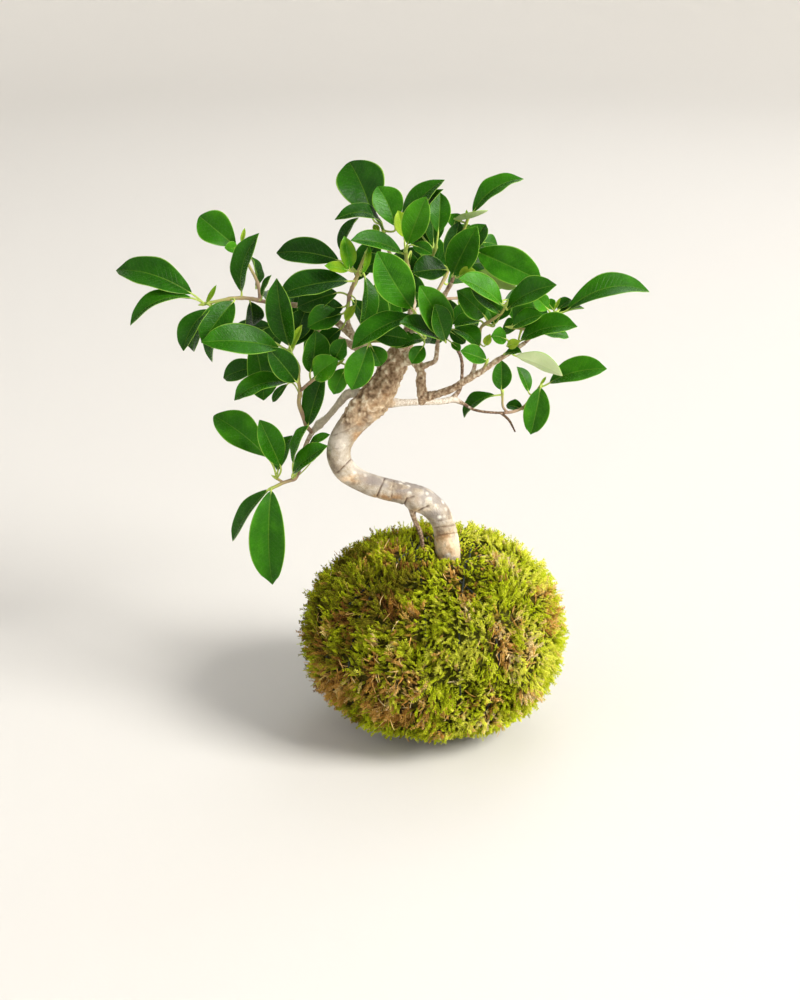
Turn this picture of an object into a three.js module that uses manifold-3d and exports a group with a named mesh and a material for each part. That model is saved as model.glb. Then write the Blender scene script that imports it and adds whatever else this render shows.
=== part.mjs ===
// Kokedama: a small bonsai fig with an S-shaped trunk, growing in a ball of soil that is wrapped in moss
// and bound with dark thread. Millimetres, +Z up; the origin is the centre of the flat spot it rests on.
import * as THREE from 'three';
import { mergeVertices } from 'three/addons/utils/BufferGeometryUtils.js';
import Module from 'manifold-3d';

const wasm = await Module();
wasm.setup();

// ---------------------------------------------------------------- driving sizes
const GAP = 0.3; // clearance between pieces that touch
const BALL_RADIUS = 71.5; // the moss ball, level with its middle
const BALL_MIDDLE = 57; // height of its widest level
const BALL_RISE = 57; // middle to top
const BALL_DROP = 61; // middle to where the bottom would be, were it not pressed flat
const BALL_DETAIL = 7;
const SOIL_RADIUS = 58;
const SOIL_RISE = 45;
const SOIL_DROP = 44;
const SOIL_DETAIL = 4;
const THREAD_RADIUS = 0.6;
const THREAD_STEPS = 30;
const THREAD_SIDES = 3;
const THREAD_DENT = 2.6; // how deep the thread pulls the moss in
const THREAD_DENT_WIDTH = 5.5;
const OUTSIDE = 120; // a distance from the ball's middle that is clear of all of it
const WOOD_SIDES = 11;
const TWIG_SIDES = 5;
const STEM_SIDES = 4;
const BLADE_THICKNESS = 1.0;
const BLADE_SECTIONS = [0.15, 0.38, 0.63, 0.86]; // where along the rib a blade has a section
const MARGIN_RISE = 0.3; // how far the margin stands above the rib, per half width of the blade
const PETIOLE_RADIUS = 0.65;
const SLIVER = 0.03; // cuts leave slivers; edges shorter than this are closed up

// Limbs and leaves are placed as a viewer at EYE sees them: [x, z] is where the sight line meets the
// upright plane through the rest spot, and `back` is how far behind that plane the point lies.
const EYE = new THREE.Vector3(-20, -1079, 559);

function seen(x, z, back) {
  return new THREE.Vector3(x, 0, z).sub(EYE).multiplyScalar(1 - back / EYE.y).add(EYE);
}

// ---------------------------------------------------------------- wood: [x, z, back, radius] along each limb
const TRUNK = [
  [8, 78, 6, 8.5], [8, 92, 5, 8.0], [7.2, 104, 4, 7.0], [6.3, 114, 3, 6.7], [4.5, 123, 2, 6.4],
  [0.5, 131.5, 1, 6.8],
  [-7, 138, 0, 7.0], [-16, 141.8, 0, 6.4], [-27, 144.8, 0, 6.5], [-39, 148.8, 0, 6.3], [-49, 154.5, 0, 6.2],
  [-53.6, 162.5, 0, 6.4], [-53.4, 171.5, 0, 6.6], [-49.2, 180, 0, 7.4], [-42, 189.2, 0, 8.2],
  [-34.4, 197.6, 0, 9.2],
  [-29, 206.3, 1, 8.3], [-24.5, 215.5, 2, 7.6], [-20.5, 224, 3, 6.4], [-17.5, 232, 5, 4.8],
];
const LIMBS = {
  air_root: [
    [-12.5, 137, -1, 2.2], [-13, 131.5, -2, 1.6], [-11.3, 125, -3, 1.3], [-8.6, 119, -4, 1.3],
    [-7.2, 110, -3, 1.1],
  ],
  hanging: [
    [-38, 199, 3, 3.6], [-43.5, 202, 7, 2.5], [-49, 201.5, 9, 2.1], [-54.5, 195, 12, 1.9],
    [-60.5, 187.5, 13, 1.7],
    [-64.8, 183.6, 14, 2.4], [-69, 178.5, 14, 1.5], [-72.5, 171.5, 13, 1.3], [-75, 163.5, 12, 1.2],
    [-76.5, 156, 11, 1.1],
  ],
  far_left: [
    [-24, 214, 3, 4.6], [-34, 224, 5, 3.0], [-46, 235, 8, 2.3], [-57, 244.5, 10, 1.9], [-68, 251, 10, 1.6],
    [-80, 252.3, 8, 1.4],
    [-91, 253.5, 5, 1.2],
  ],
  left: [[-46, 235, 8, 1.9], [-48.5, 243, 3, 1.4], [-48.5, 250, 0, 1.2]],
  heart: [[-20, 225, 2, 3.2], [-15.5, 233, -6, 1.9], [-13, 239, -12, 1.4]],
  top: [[-17.5, 231, 5, 4.4], [-14.5, 240, 4, 2.9], [-13.3, 252, 2, 2.1], [-14, 263, 0, 1.6]],
  top_left: [[-13.6, 255, 2, 1.7], [-18.5, 266, 6, 1.4], [-24, 277, 10, 1.2]],
  top_right: [[-14.5, 240, 4, 2.4], [-5, 248, 10, 1.8], [3.5, 257, 12, 1.5], [8, 265, 12, 1.3]],
  front: [
    [-19, 222, 2, 4.6], [-12.5, 221.5, -7, 3.2], [-8.5, 214, -14, 2.6], [-8.3, 206, -18, 2.7],
    [-7, 200, -20, 3.0], [-1, 200.8, -22, 2.2],
    [8, 203.8, -26, 1.9], [17, 209.6, -30, 1.8], [25, 214.3, -33, 1.6], [31, 219, -35, 1.5],
    [39, 224.2, -37, 1.3], [48.5, 230.8, -38, 1.1],
  ],
  front_stub: [[-7, 201, -20, 2.8], [-8, 196.6, -20, 2.2], [-8.3, 195, -20, 1.3]],
  loop: [
    [-8.6, 216.5, -12, 1.9], [-4.8, 218.3, -13, 1.5], [-0.8, 220.5, -14, 1.3], [0.2, 225.5, -15, 1.2],
    [0.6, 231.5, -16, 1.1],
  ],
  right_twig: [[18, 210, -30, 1.5], [20.4, 214.5, -30, 1.2], [21.6, 220.5, -29, 1.1]],
  back: [
    [-27, 196.5, 2, 3.4], [-20, 196.2, 9, 2.2], [-9, 196.6, 16, 1.8], [3, 196.9, 22, 1.8],
    [9.5, 198, 25, 1.9], [15, 195.6, 27, 1.0],
    [21, 192.1, 29, 0.8], [29, 190.6, 32, 0.8], [37.5, 190.2, 35, 0.9],
  ],
  back_riser: [
    [9, 198.5, 25, 1.6], [13, 204, 28, 1.1], [14.2, 213, 31, 1.0], [13.6, 222, 33, 1.0],
    [9.5, 230.5, 34, 1.0],
  ],
  back_snag: [[36, 190.2, 34, 0.9], [40.5, 186, 41, 0.8], [44.2, 179, 48, 0.6]],
  rear_left: [[-30, 219, 5, 3.2], [-42, 227, 20, 2.2], [-56, 234, 34, 1.6], [-66, 238, 42, 1.3]],
  rear: [[-20, 226, 4, 3.4], [-14, 236, 20, 2.2], [-8, 244, 36, 1.6], [-4, 250, 46, 1.3]],
  left_snag: [[-35, 208, 1, 2.0], [-38.4, 212.6, -4, 1.0], [-41.4, 215.4, -8, 0.8]],
};

// ---------------------------------------------------------------- shoots
// stems: [x, z, back, radius]; the first one starts at its limb's end.
// leaves: base [x, z, back], tip [x, z, back], width, turn, arch. At turn 0 the upper face looks at the
// viewer, at 90 it is seen on edge from below its skyward face; arch is the rib's rise over its length. A tenth
// value, from -1 to 1, is how blunt the tip is.
const SHOOTS = {
  shoot_far_left: {
    limb: 'far_left',
    color: '#2d6b12',
    stems: [
      [
        [-96, 254.6, 4, 1.1], [-103, 256, 2, 1.0], [-110, 256, 0, 1.0], [-118, 254.6, -3, 0.9],
        [-126.5, 252.8, -6, 0.8],
      ],
      [[-96, 254.6, 4, 1.0], [-97, 264, 9, 0.9], [-101.5, 274, 13, 0.8], [-106.5, 283, 15, 0.7]],
    ],
    leaves: [
      [-133, 258.5, -5, -173.5, 271.5, 6, 19, 25, 0.17],
      [-133, 256, -8, -167, 240.5, -16, 14, 60, 0.19],
      [-125.5, 253.5, -8, -119.5, 263.5, -12, 3, 20, 0.05],
      [-123.5, 249.5, -12, -139, 226, -24, 15, 50, 0.16],
      [-124, 249, 0, -133.5, 226, 8, 14, 45, 0.14],
      [-110.5, 254, -6, -128.5, 230.5, -20, 17, 18, 0.08],
      [-114, 251, 4, -123.5, 219.5, 12, 14, 50, 0.12],
      [-108, 284.5, 16, -127.5, 301.5, 22, 19, 12, 0.05, 1],
      [-107.5, 283.5, 12, -114.5, 284, 6, 7, 20, 0.1],
      [-105.5, 287, 15, -103.3, 295, 13, 2.6, 20, 0.05],
      [-106, 259.5, 1, -95.5, 292, -3, 15, 42, 0.14],
      [-98, 262.5, 14, -100.5, 279.5, 22, 13, 72, 0.08],
      [-95, 256.5, -1, -89.5, 269, -6, 5, 55, 0.08],
      [-101.5, 254, 8, -100.5, 240, 18, 13, 30, 0.08],
    ],
  },
  shoot_left: {
    limb: 'left',
    color: '#245c10',
    stems: [
      [
        [-47.5, 257, -3, 1.1], [-45.5, 263, -5, 1.0], [-43, 269, -6, 1.0], [-40.5, 276, -7, 0.8],
        [-38.5, 281, -8, 0.7],
      ],
    ],
    leaves: [
      [-53, 277, 3, -86.5, 281, 12, 17, 28, 0.08],
      [-48, 265.5, -9, -86, 257.5, -17, 18, 40, 0.08],
      [-52, 247, -4, -70.5, 239.5, -12, 15, 25, 0.1],
      [-51, 251, -2, -66, 247.5, -4, 12, 20, 0.08],
      [-47.3, 272, -9, -50, 290.5, -11, 9, 15, 0.1],
      [-48, 271.5, -10, -60.8, 274.2, -16, 6.5, 25, 0.1],
      [-40.6, 269, -10, -36.6, 285.8, -12, 4.5, 40, 0.05],
      [-51, 281, 15, -42, 300.5, 24, 13, 64, 0.1],
      [-39, 268, -12, -41.5, 240, -20, 14, 50, 0.1],
      [-44.5, 252, -12, -49.8, 243, -16, 5, 10, 0.1],
      [-52.5, 238.5, 1, -64, 225.5, -4, 12, 25, 0.1],
      [-54, 259, -1, -76, 251, 2, 15, 20, 0.08],
      [-43, 266, 4, -32, 288, 14, 15, 25, 0.08],
      [-46, 255, 6, -35, 237, 16, 14, 30, 0.08],
      [-41, 272, 0, -28, 277, 2, 12, 25, 0.08],
    ],
  },
  shoot_low_left: {
    limb: 'hanging',
    from: 6,
    color: '#2a6412',
    stems: [
      [
        [-71.8, 182.5, 9, 1.2], [-74, 189, 5, 1.3], [-76, 196, 0, 1.2], [-75.2, 203, -3, 1.1],
        [-76.2, 210, -5, 1.0], [-75.8, 217, -7, 1.0], [-80, 225, -10, 0.8],
      ],
      [[-75.2, 203, -3, 1.0], [-68, 209.3, -10, 0.8], [-60, 214, -13, 0.7], [-53, 219.4, -15, 0.7]],
    ],
    leaves: [
      [-86.5, 227.5, -13, -129, 231, -28, 19.5, 35, 0.1],
      [-80.5, 229, -14, -86.5, 267.5, -27, 16, -28, 0.08],
      [-80.8, 226, -10, -73.5, 241, -12, 4.5, 15, 0.05],
      [-80, 229, -4, -67, 243.5, 2, 13, 20, 0.05],
      [-101, 235, 4, -95.5, 197.5, 8, 18, 18, 0.08],
      [-96, 217, 9, -117.5, 210.5, 14, 13, 30, 0.1],
      [-81.5, 208, -8, -111.8, 197.5, -12, 15, 46, 0.19],
      [-77.5, 208.5, -10, -92.5, 228, -18, 15, 10, 0.06],
      [-82, 207, 6, -90.5, 196.5, 11, 5, 25, 0.05],
      [-71, 183, 6, -61, 214.5, -1, 14, 30, 0.06],
      [-69.5, 214, -5, -66, 238, -9, 17, 24, 0.06],
      [-67, 210.5, -12, -53.8, 221.3, -20, 15, 25, 0.08],
      [-56, 221, -17, -50, 233, -20, 11, 20, 0.05],
      [-49.8, 216, -19, -56.8, 201, -24, 11, 15, 0.1],
      [-77, 232, -4, -71, 250, 1, 14, 20, 0.08],
    ],
  },
  shoot_hanging: {
    limb: 'hanging',
    color: '#2b6a14',
    stems: [
      [[-79, 151.5, 10, 1.1], [-85.5, 148.8, 8, 1.0], [-89, 147, 6, 1.0], [-92.6, 145.2, 3, 0.8]],
      [[-85.5, 148.8, 8, 0.8], [-89.5, 151.5, 8, 0.7]],
    ],
    leaves: [
      [-94.5, 164, 8, -123.5, 188.5, 16, 20.5, 15, 0.06, 1],
      [-87, 158.5, 2, -98, 186, -8, 15, 20, 0.05, 0.6],
      [-88.5, 156, 14, -80, 177, 24, 13, 35, 0.08],
      [-80, 160.5, 5, -70.5, 182.5, -3, 12, 60, 0.06],
      [-80, 154.5, 3, -60.5, 171, -8, 14, 46, 0.08],
      [-70.5, 171.5, 3, -59, 177.5, 0, 6, 40, 0.08],
      [-70, 161, 12, -65.5, 166.5, 12, 3, 30, 0.05],
      [-92.5, 144, 0, -93.3, 85.5, -10, 21, -8, 0.1, -0.3],
      [-94, 144.5, 6, -115.5, 113, 18, 14, 58, 0.06],
    ],
  },
  shoot_top_left: {
    limb: 'top_left',
    color: '#28650f',
    stems: [[[-26.5, 284, 12, 1.0], [-28, 290, 14, 0.9], [-30, 297, 16, 0.7]]],
    leaves: [
      [-34.5, 300, 20, -47, 331, 36, 26.5, 6, 0.05, 1],
      [-29, 293.5, 10, -54.8, 299, -4, 12, 55, 0.27],
      [-22.8, 296, 7, -32, 317.5, 12, 17, 6, 0.06, 0.8],
      [-31.5, 292, 16, -34, 297, 18, 4, 10, 0.05],
    ],
  },
  shoot_top: {
    limb: 'top',
    color: '#2f7512',
    stems: [
      [[-15, 270, -2, 1.2], [-16.3, 276, -4, 1.0], [-17, 282, -6, 0.9]],
      [[-15, 270, -2, 1.0], [-9, 272, -3, 1.0], [-3.5, 278, -4, 0.9], [-0.8, 284, -5, 0.8]],
    ],
    leaves: [
      [-16, 286, -10, -6, 312, -18, 15, 8, 0.06, 0.5],
      [-17, 292, 4, 3.8, 321.3, 12, 15, 42, 0.18],
      [-10, 296, 10, 3, 316.2, 2, 10, 62, 0.12],
      [0.5, 292.3, -2, 1.5, 314.2, 5, 12, 8, 0.08],
      [-19, 281, -5, -46.5, 288.2, -18, 14, 48, 0.08],
      [-17.8, 290, -3, -21, 304.5, -3, 9, 15, 0.06],
      [-13, 285.5, -9, -2.5, 280.5, -14, 8, 20, 0.08],
      [-14, 281, 3, -15.8, 268.3, 6, 11, 20, 0.08],
      [5.2, 271.8, 2, -13.4, 270, -4, 16, 30, 0.06],
      [-18, 276, 2, -29, 261, 12, 14, 20, 0.08],
      [-6, 281, 6, -15, 294, 16, 12, 25, 0.08],
      [-2, 286, 6, -3.5, 304, 14, 12, 20, 0.08],
    ],
  },
  shoot_heart: {
    limb: 'heart',
    color: '#3a8a1e',
    stems: [
      [[-12.4, 242, -15, 1.1], [-12, 246.5, -19, 1.0]],
      [[-12.4, 242, -15, 1.0], [-21, 235, -16, 1.0], [-31, 232, -15, 0.9], [-40, 231.5, -14, 0.8]],
    ],
    leaves: [
      [-13.4, 250, -24, -32.5, 282, -30, 21, 0, 0.05, 0.5],
      [-13.5, 246, -23, -45.8, 227, -32, 17, 45, 0.1],
      [-31, 236, -5, -34, 263.5, -8, 13, 20, 0.05],
      [-26, 238, -4, -25.5, 258, 0, 12, 25, 0.05],
      [-14.5, 232.5, -14, -37, 236, -22, 14, 22, 0.06],
      [-37.5, 229, -22, -46.8, 203.5, -30, 16, 8, 0.06],
      [-35.8, 229, -16, -30.5, 217.5, -17, 11, 5, 0.08],
      [-7, 233, -12, -22.5, 227.5, -20, 13, 48, 0.08],
      [-7.2, 228.8, -17, -13.6, 218.8, -22, 9.5, 8, 0.08],
    ],
  },
  shoot_centre: {
    limb: 'loop',
    color: '#347f16',
    stems: [[[1.8, 235, -18, 1.0], [4, 238.5, -20, 0.8]]],
    leaves: [
      [6.2, 235, -22, -9.5, 263, -30, 18, 18, 0.14, 0.5],
      [5, 231.5, -27, -1.5, 252.6, -36, 13, 20, 0.05, 1],
      [4, 232, -25, -20.5, 242, -37, 15, 52, 0.05],
      [9.5, 238.3, -24, 23.2, 228.5, -32, 13, 45, 0.14],
      [7, 237.5, -18, 15.8, 230.5, -19, 9, 15, 0.08],
      [8, 231, -20, 13.2, 226.3, -22, 5, 20, 0.05],
      [7.5, 241, -14, 20.5, 252, -10, 10, 30, 0.05],
    ],
  },
  shoot_top_right: {
    limb: 'top_right',
    color: '#2c6e12',
    stems: [[[9.5, 270, 11, 1.1], [11.2, 280, 11, 1.0], [13.2, 290, 9, 0.9], [16.2, 299.5, 8, 0.7]]],
    leaves: [
      [8.5, 269, 2, 21.5, 296, -10, 17.5, 8, 0.05],
      [5.5, 276, 8, 11.5, 298.5, 12, 14, 25, 0.06],
      [9.5, 300, 10, 27.2, 304.5, 0, 9, 112, -0.08],
      [8.5, 295, 15, 11, 303, 20, 9, 20, 0.05],
      [19, 303.3, 9, 46, 321.8, 18, 14, 42, 0.19],
      [16, 299, 9, 15.6, 305, 8, 1.8, 0, 0.02],
      [16.5, 281, 13, 26, 297, 20, 14, 28, 0.06],
      [23, 287, 22, 32.5, 285.5, 28, 10, 30, 0.08],
      [21.5, 282, 4, 57.2, 265.5, -9, 20, 12, 0.09],
      [14.5, 275, 9, 26.5, 276, 15, 12, 20, 0.05],
      [22, 271, 10, 42.8, 261.8, 2, 14, 150, 0.06],
      [12, 268, -4, 20.8, 271.5, -9, 6.5, 20, 0.1],
    ],
  },
  shoot_right: {
    limb: 'right_twig',
    color: '#378516',
    stems: [
      [
        [22.4, 226, -27, 1.0], [23.6, 233, -26, 0.9], [24.3, 239.5, -26, 0.8], [29, 243, -30, 0.8],
        [35.5, 248, -35, 0.8], [37.5, 252, -36, 0.7],
      ],
    ],
    leaves: [
      [35.5, 252.3, -37, 11.5, 266.8, -44, 17, 48, 0.08],
      [35, 247.6, -34, 18.3, 261, -38, 14, 42, 0.06],
      [26, 246, -28, 10.8, 260.3, -34, 16, 22, 0.1],
      [23.8, 243.2, -27, 9.6, 240.3, -31, 11, 50, 0.08],
      [38.6, 249.8, -38, 65, 263, -47, 16, 44, 0.13],
      [26.8, 229.3, -32, 29.3, 235.8, -36, 4.5, 0, 0.05],
      [31.5, 241.5, -24, 26.5, 253, -20, 10, 20, 0.05],
      [33.5, 243.5, -22, 39.5, 252, -17, 10, 30, 0.05],
    ],
  },
  shoot_far_right: {
    limb: 'front',
    color: '#2e7212',
    stems: [
      [[53.5, 236, -37, 0.9], [59, 243, -35, 0.8], [64.5, 247.6, -34, 0.7]],
      [[53.5, 236, -37, 0.8], [47.5, 238.5, -38, 0.7], [41, 239.5, -38, 0.7]],
    ],
    leaves: [
      [71, 249.3, -34, 115.8, 260, -24, 17, 42, 0.2, 0.2],
      [66, 247, -33, 80.3, 250.3, -27, 11, 68, 0.06],
      [66, 249.3, -29, 73, 255.3, -24, 8, 45, 0.06],
      [64, 249, -36, 67.2, 256.3, -39, 1.8, 0, 0.02],
      [60.3, 250, -37, 52.3, 257.8, -42, 9.5, 20, 0.06],
      [63.5, 249.5, -29, 59.3, 254.6, -25, 7, 20, 0.05],
      [42, 241.5, -35, 59.3, 251.3, -30, 20, 18, 0.2],
      [41.5, 239.8, -41, 57.8, 246.5, -46, 12, 40, 0.08],
      [46, 231.8, -43, 77, 240, -52, 17, 47, 0.13],
      [58, 236, -31, 72.4, 233.8, -28, 8, 42, 0.08],
      [46, 241, -31, 35.5, 237, -24, 10, 35, 0.05],
    ],
  },
  shoot_front: {
    limb: 'front',
    from: 10,
    color: '#86a83a',
    stems: [[[40.5, 226.5, -39, 0.8], [40.2, 229, -40, 0.7]]],
    leaves: [
      [43.5, 223.3, -39, 69.3, 211.3, -46, 14, 128, 0.05],
      [37.3, 224.3, -41, 46.8, 225.4, -45, 7, 55, 0.05],
      [38.6, 229, -41, 45.8, 231.3, -45, 5.5, 10, 0.05],
      [38.2, 232.8, -38, 29.8, 234.6, -42, 10, 25, 0.06],
    ],
  },
  shoot_front_low: {
    limb: 'front',
    from: 8,
    color: '#2f8a10',
    stems: [[[26.5, 217, -36, 0.8], [27.6, 219.6, -38, 0.7]]],
    leaves: [[27.5, 220.8, -39, 13, 226, -45, 11, 30, 0.05]],
  },
  shoot_back_right: {
    limb: 'back',
    color: '#2c7410',
    stems: [
      [[43, 191, 37, 0.9], [48, 193.2, 39, 0.8], [52.5, 199, 42, 0.8], [57, 205, 44, 0.7]],
      [[40, 190.3, 36, 0.8], [37.2, 193.5, 37, 0.7], [36.7, 199, 37, 0.7], [36.6, 202.5, 36, 0.7]],
    ],
    leaves: [
      [32.5, 200.4, 36, 15, 187.4, 38, 13, 58, 0.17],
      [36, 203.8, 35, 35.6, 221, 32, 11.5, 8, 0.08],
      [51, 202.5, 42, 44, 216.8, 46, 9, 38, 0.08],
      [48, 192.2, 40, 38.8, 194.8, 44, 8, 35, 0.08],
      [57.6, 205, 41, 52.8, 177.4, 38, 15, 5, 0.06, -0.5],
      [62.5, 207.6, 43, 94, 216, 36, 17, 38, 0.12],
      [57, 206, 46, 60.6, 211.4, 49, 1.8, 0, 0.02],
    ],
  },
  shoot_rear_left: {
    limb: 'rear_left',
    color: '#1f4f0d',
    stems: [[[-72, 240.5, 46, 1.0], [-80, 244, 52, 0.9], [-88, 248, 56, 0.7]]],
    leaves: [
      [-89, 240, 57, -113, 233, 70, 12, 35, 0.1],
      [-88, 249, 57, -93, 260, 82, 13, 30, 0.12],
      [-80, 246, 52, -78, 264, 68, 15, 35, 0.1],
      [-82, 240, 54, -96, 222, 60, 16, 25, 0.12],
      [-72, 237, 47, -65, 216, 58, 14, 20, 0.12],
      [-74, 240, 50, -56, 231, 74, 16, 40, 0.12],
      [-74, 243, 48, -60, 260, 60, 16, 30, 0.12],
    ],
  },
  shoot_rear: {
    limb: 'rear',
    color: '#1f4f0d',
    stems: [
      [[-2, 255, 50, 1.1], [2, 263, 55, 1.0], [6, 271, 58, 0.8], [8, 279, 60, 0.7]],
      [[-2, 255, 50, 1.0], [10, 256, 56, 0.8], [22, 256, 60, 0.7], [34, 254, 62, 0.7]],
    ],
    leaves: [
      [9, 279, 61, 17, 297, 74, 15, 25, 0.1],
      [10, 276, 60, 31, 285, 76, 15, 38, 0.14],
      [2, 270, 58, -26, 278, 76, 17, 40, 0.12],
      [0, 258, 54, 4, 241, 84, 16, 30, 0.12],
      [-5, 253, 52, -34, 246, 68, 17, 40, 0.12],
      [6, 264, 60, 22, 268, 88, 17, 35, 0.12],
      [12, 253, 58, 14, 234, 74, 16, 25, 0.12],
      [24, 259, 60, 44, 268, 76, 17, 35, 0.12],
      [36, 252, 62, 52, 238, 76, 16, 30, 0.12],
      [37, 255, 62, 58, 252, 82, 16, 40, 0.12],
      [0, 250, 50, -4, 230, 62, 15, 25, 0.12],
      [4, 268, 57, -12, 292, 72, 17, 30, 0.1],
      [-5, 256, 51, -24, 264, 66, 17, 25, 0.1],
    ],
  },
};

// ---------------------------------------------------------------- solids
function solidOf(geometry) {
  geometry.deleteAttribute('normal');
  geometry.deleteAttribute('uv');
  const merged = mergeVertices(geometry, 1e-4);
  const vertProperties = new Float32Array(merged.attributes.position.array);
  const triVerts = new Uint32Array(merged.index.array);
  return new wasm.Manifold(new wasm.Mesh({ numProp: 3, vertProperties, triVerts }));
}

function meshOf(points, faces) {
  const geometry = new THREE.BufferGeometry();
  const numbers = points.flatMap((p) => [p.x, p.y, p.z]);
  geometry.setAttribute('position', new THREE.Float32BufferAttribute(numbers, 3));
  geometry.setIndex(faces);
  return geometry;
}

// A closed skin over rings of equally many points; a ring of one point is a pointed end.
function skin(rings) {
  const points = rings.flat();
  const starts = [];
  let count = 0;
  for (const ring of rings) {
    starts.push(count);
    count += ring.length;
  }
  const faces = [];
  for (let r = 0; r + 1 < rings.length; r++) {
    const [a, b] = [starts[r], starts[r + 1]];
    const n = Math.max(rings[r].length, rings[r + 1].length);
    for (let i = 0; i < n; i++) {
      const j = (i + 1) % n;
      if (rings[r].length > 1) faces.push(a + i, a + j, rings[r + 1].length > 1 ? b + j : b);
      if (rings[r + 1].length > 1) faces.push(rings[r].length > 1 ? a + i : a, b + j, b + i);
    }
  }
  const end = starts[rings.length - 1];
  for (let i = 1; i + 1 < rings[0].length; i++) faces.push(0, i + 1, i);
  for (let i = end + 1; i + 1 < count; i++) faces.push(end, i, i + 1);
  return solidOf(meshOf(points, faces));
}

// A round, tapering length of wood through [x, z, back, radius] points, on a smooth curve. `extra` fattens
// and lengthens it, which gives the hole that the same length of wood stands in.
function wood(points, sides, stepsBetween = 2, extra = 0) {
  const middles = points.map(([x, z, back]) => seen(x, z, back));
  const curve = new THREE.CatmullRomCurve3(middles, false, 'centripetal');
  const steps = (points.length - 1) * stepsBetween;
  const rings = [];
  let across = new THREE.Vector3(0, 1, 0);
  for (let i = 0; i <= steps; i++) {
    const along = (i / steps) * (points.length - 1);
    const from = Math.min(Math.floor(along), points.length - 2);
    const radius = THREE.MathUtils.lerp(points[from][3], points[from + 1][3], along - from) + extra;
    const tangent = curve.getTangent(i / steps);
    const centre = curve.getPoint(i / steps);
    if (i === 0) centre.addScaledVector(tangent, -extra);
    if (i === steps) centre.addScaledVector(tangent, extra);
    across = across.clone().addScaledVector(tangent, -across.dot(tangent)).normalize();
    const other = tangent.clone().cross(across);
    rings.push(
      Array.from({ length: sides }, (_, k) => {
        const angle = (2 * Math.PI * k) / sides;
        return centre
          .clone()
          .addScaledVector(across, radius * Math.cos(angle))
          .addScaledVector(other, radius * Math.sin(angle));
      }),
    );
  }
  return skin(rings);
}

// Half the blade's width over its rib, from base (0) to tip (1): a wedge-shaped base, widest just past the
// middle, and a last seventh that draws in to a drip tip. A blunt one is widest nearer its tip, and one whose
// `blunt` is below 0 nearer its base.
function outline(t, blunt) {
  const drip = Math.max(0, (t - 0.86) / 0.14);
  return Math.sin(Math.PI * t ** (1.05 + 0.3 * blunt)) ** 0.75 * (1 - (0.5 - 0.4 * blunt) * drip);
}

// A leaf: its stalk from `root` on the stem, and a thin arched blade with a raised margin, as one skin of
// four-point sections (edge, upper rib, edge, lower rib).
function leaf([x0, z0, back0, x1, z1, back1, width, turn, arch, blunt = 0], root) {
  const base = seen(x0, z0, back0);
  const tip = seen(x1, z1, back1);
  const length = base.distanceTo(tip);
  const along = tip.clone().sub(base).normalize();
  const toViewer = EYE.clone().sub(base);
  toViewer.addScaledVector(along, -toViewer.dot(along)).normalize();
  const side = along.clone().cross(toViewer);
  if (side.z + 0.3 * side.x < 0) side.negate();
  const angle = THREE.MathUtils.degToRad(turn);
  const up = toViewer.multiplyScalar(Math.cos(angle)).addScaledVector(side, Math.sin(angle));
  const across = up.clone().cross(along).normalize();
  const section = (centre, sideways, normal, halfWidth, halfThickness, rim) => [
    centre.clone().addScaledVector(sideways, halfWidth).addScaledVector(normal, rim),
    centre.clone().addScaledVector(normal, halfThickness),
    centre.clone().addScaledVector(sideways, -halfWidth).addScaledVector(normal, rim),
    centre.clone().addScaledVector(normal, -halfThickness),
  ];
  // The stalk's two sections stand square to it at the stem and halfway between stalk and blade at the base.
  const stalk = base.clone().sub(root).normalize();
  const bend = along.clone().add(stalk).normalize();
  const rings = [[root, stalk], [base, bend]].map(([centre, direction]) => {
    const swing = new THREE.Quaternion().setFromUnitVectors(along, direction);
    const [sideways, normal] = [across, up].map((v) => v.clone().applyQuaternion(swing));
    return section(centre, sideways, normal, PETIOLE_RADIUS, PETIOLE_RADIUS, 0);
  });
  for (const t of BLADE_SECTIONS) {
    const normal = up.clone().addScaledVector(along, -arch * 4 * (1 - 2 * t)).normalize();
    const rise = arch * length * 4 * t * (1 - t);
    const rib = base.clone().addScaledVector(along, length * t).addScaledVector(up, rise);
    const halfWidth = (width / 2) * outline(t, blunt);
    rings.push(section(rib, across, normal, halfWidth, BLADE_THICKNESS / 2, halfWidth * MARGIN_RISE));
  }
  rings.push([tip]);
  return skin(rings);
}

// The stalk starts at the point of the shoot's own wood that lies nearest the blade's base.
function stalkRoot(stems, [x, z, back]) {
  const base = seen(x, z, back);
  let nearest = null;
  for (const stem of stems) {
    const points = stem.map(([px, pz, pb]) => seen(px, pz, pb));
    for (let i = 0; i + 1 < points.length; i++) {
      const stretch = new THREE.Line3(points[i], points[i + 1]);
      const on = stretch.closestPointToPoint(base, true, new THREE.Vector3());
      if (!nearest || on.distanceTo(base) < nearest.distanceTo(base)) nearest = on;
    }
  }
  return nearest;
}

function largestPiece(solid) {
  return solid.decompose().reduce((a, b) => (a.volume() > b.volume() ? a : b));
}

function shoot({ limb, from, stems, leaves }) {
  const start = LIMBS[limb].at(from ?? -1);
  const lengths = stems.map((stem, i) => (i === 0 ? [[...start.slice(0, 3), stem[0][3]], ...stem] : stem));
  const parts = lengths.map((points) => wood(points, STEM_SIDES, 1));
  for (const blade of leaves) parts.push(leaf(blade, stalkRoot(stems, blade)));
  return largestPiece(wasm.Manifold.union(parts).subtract(woodRoom).asOriginal().simplify(SLIVER));
}

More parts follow.
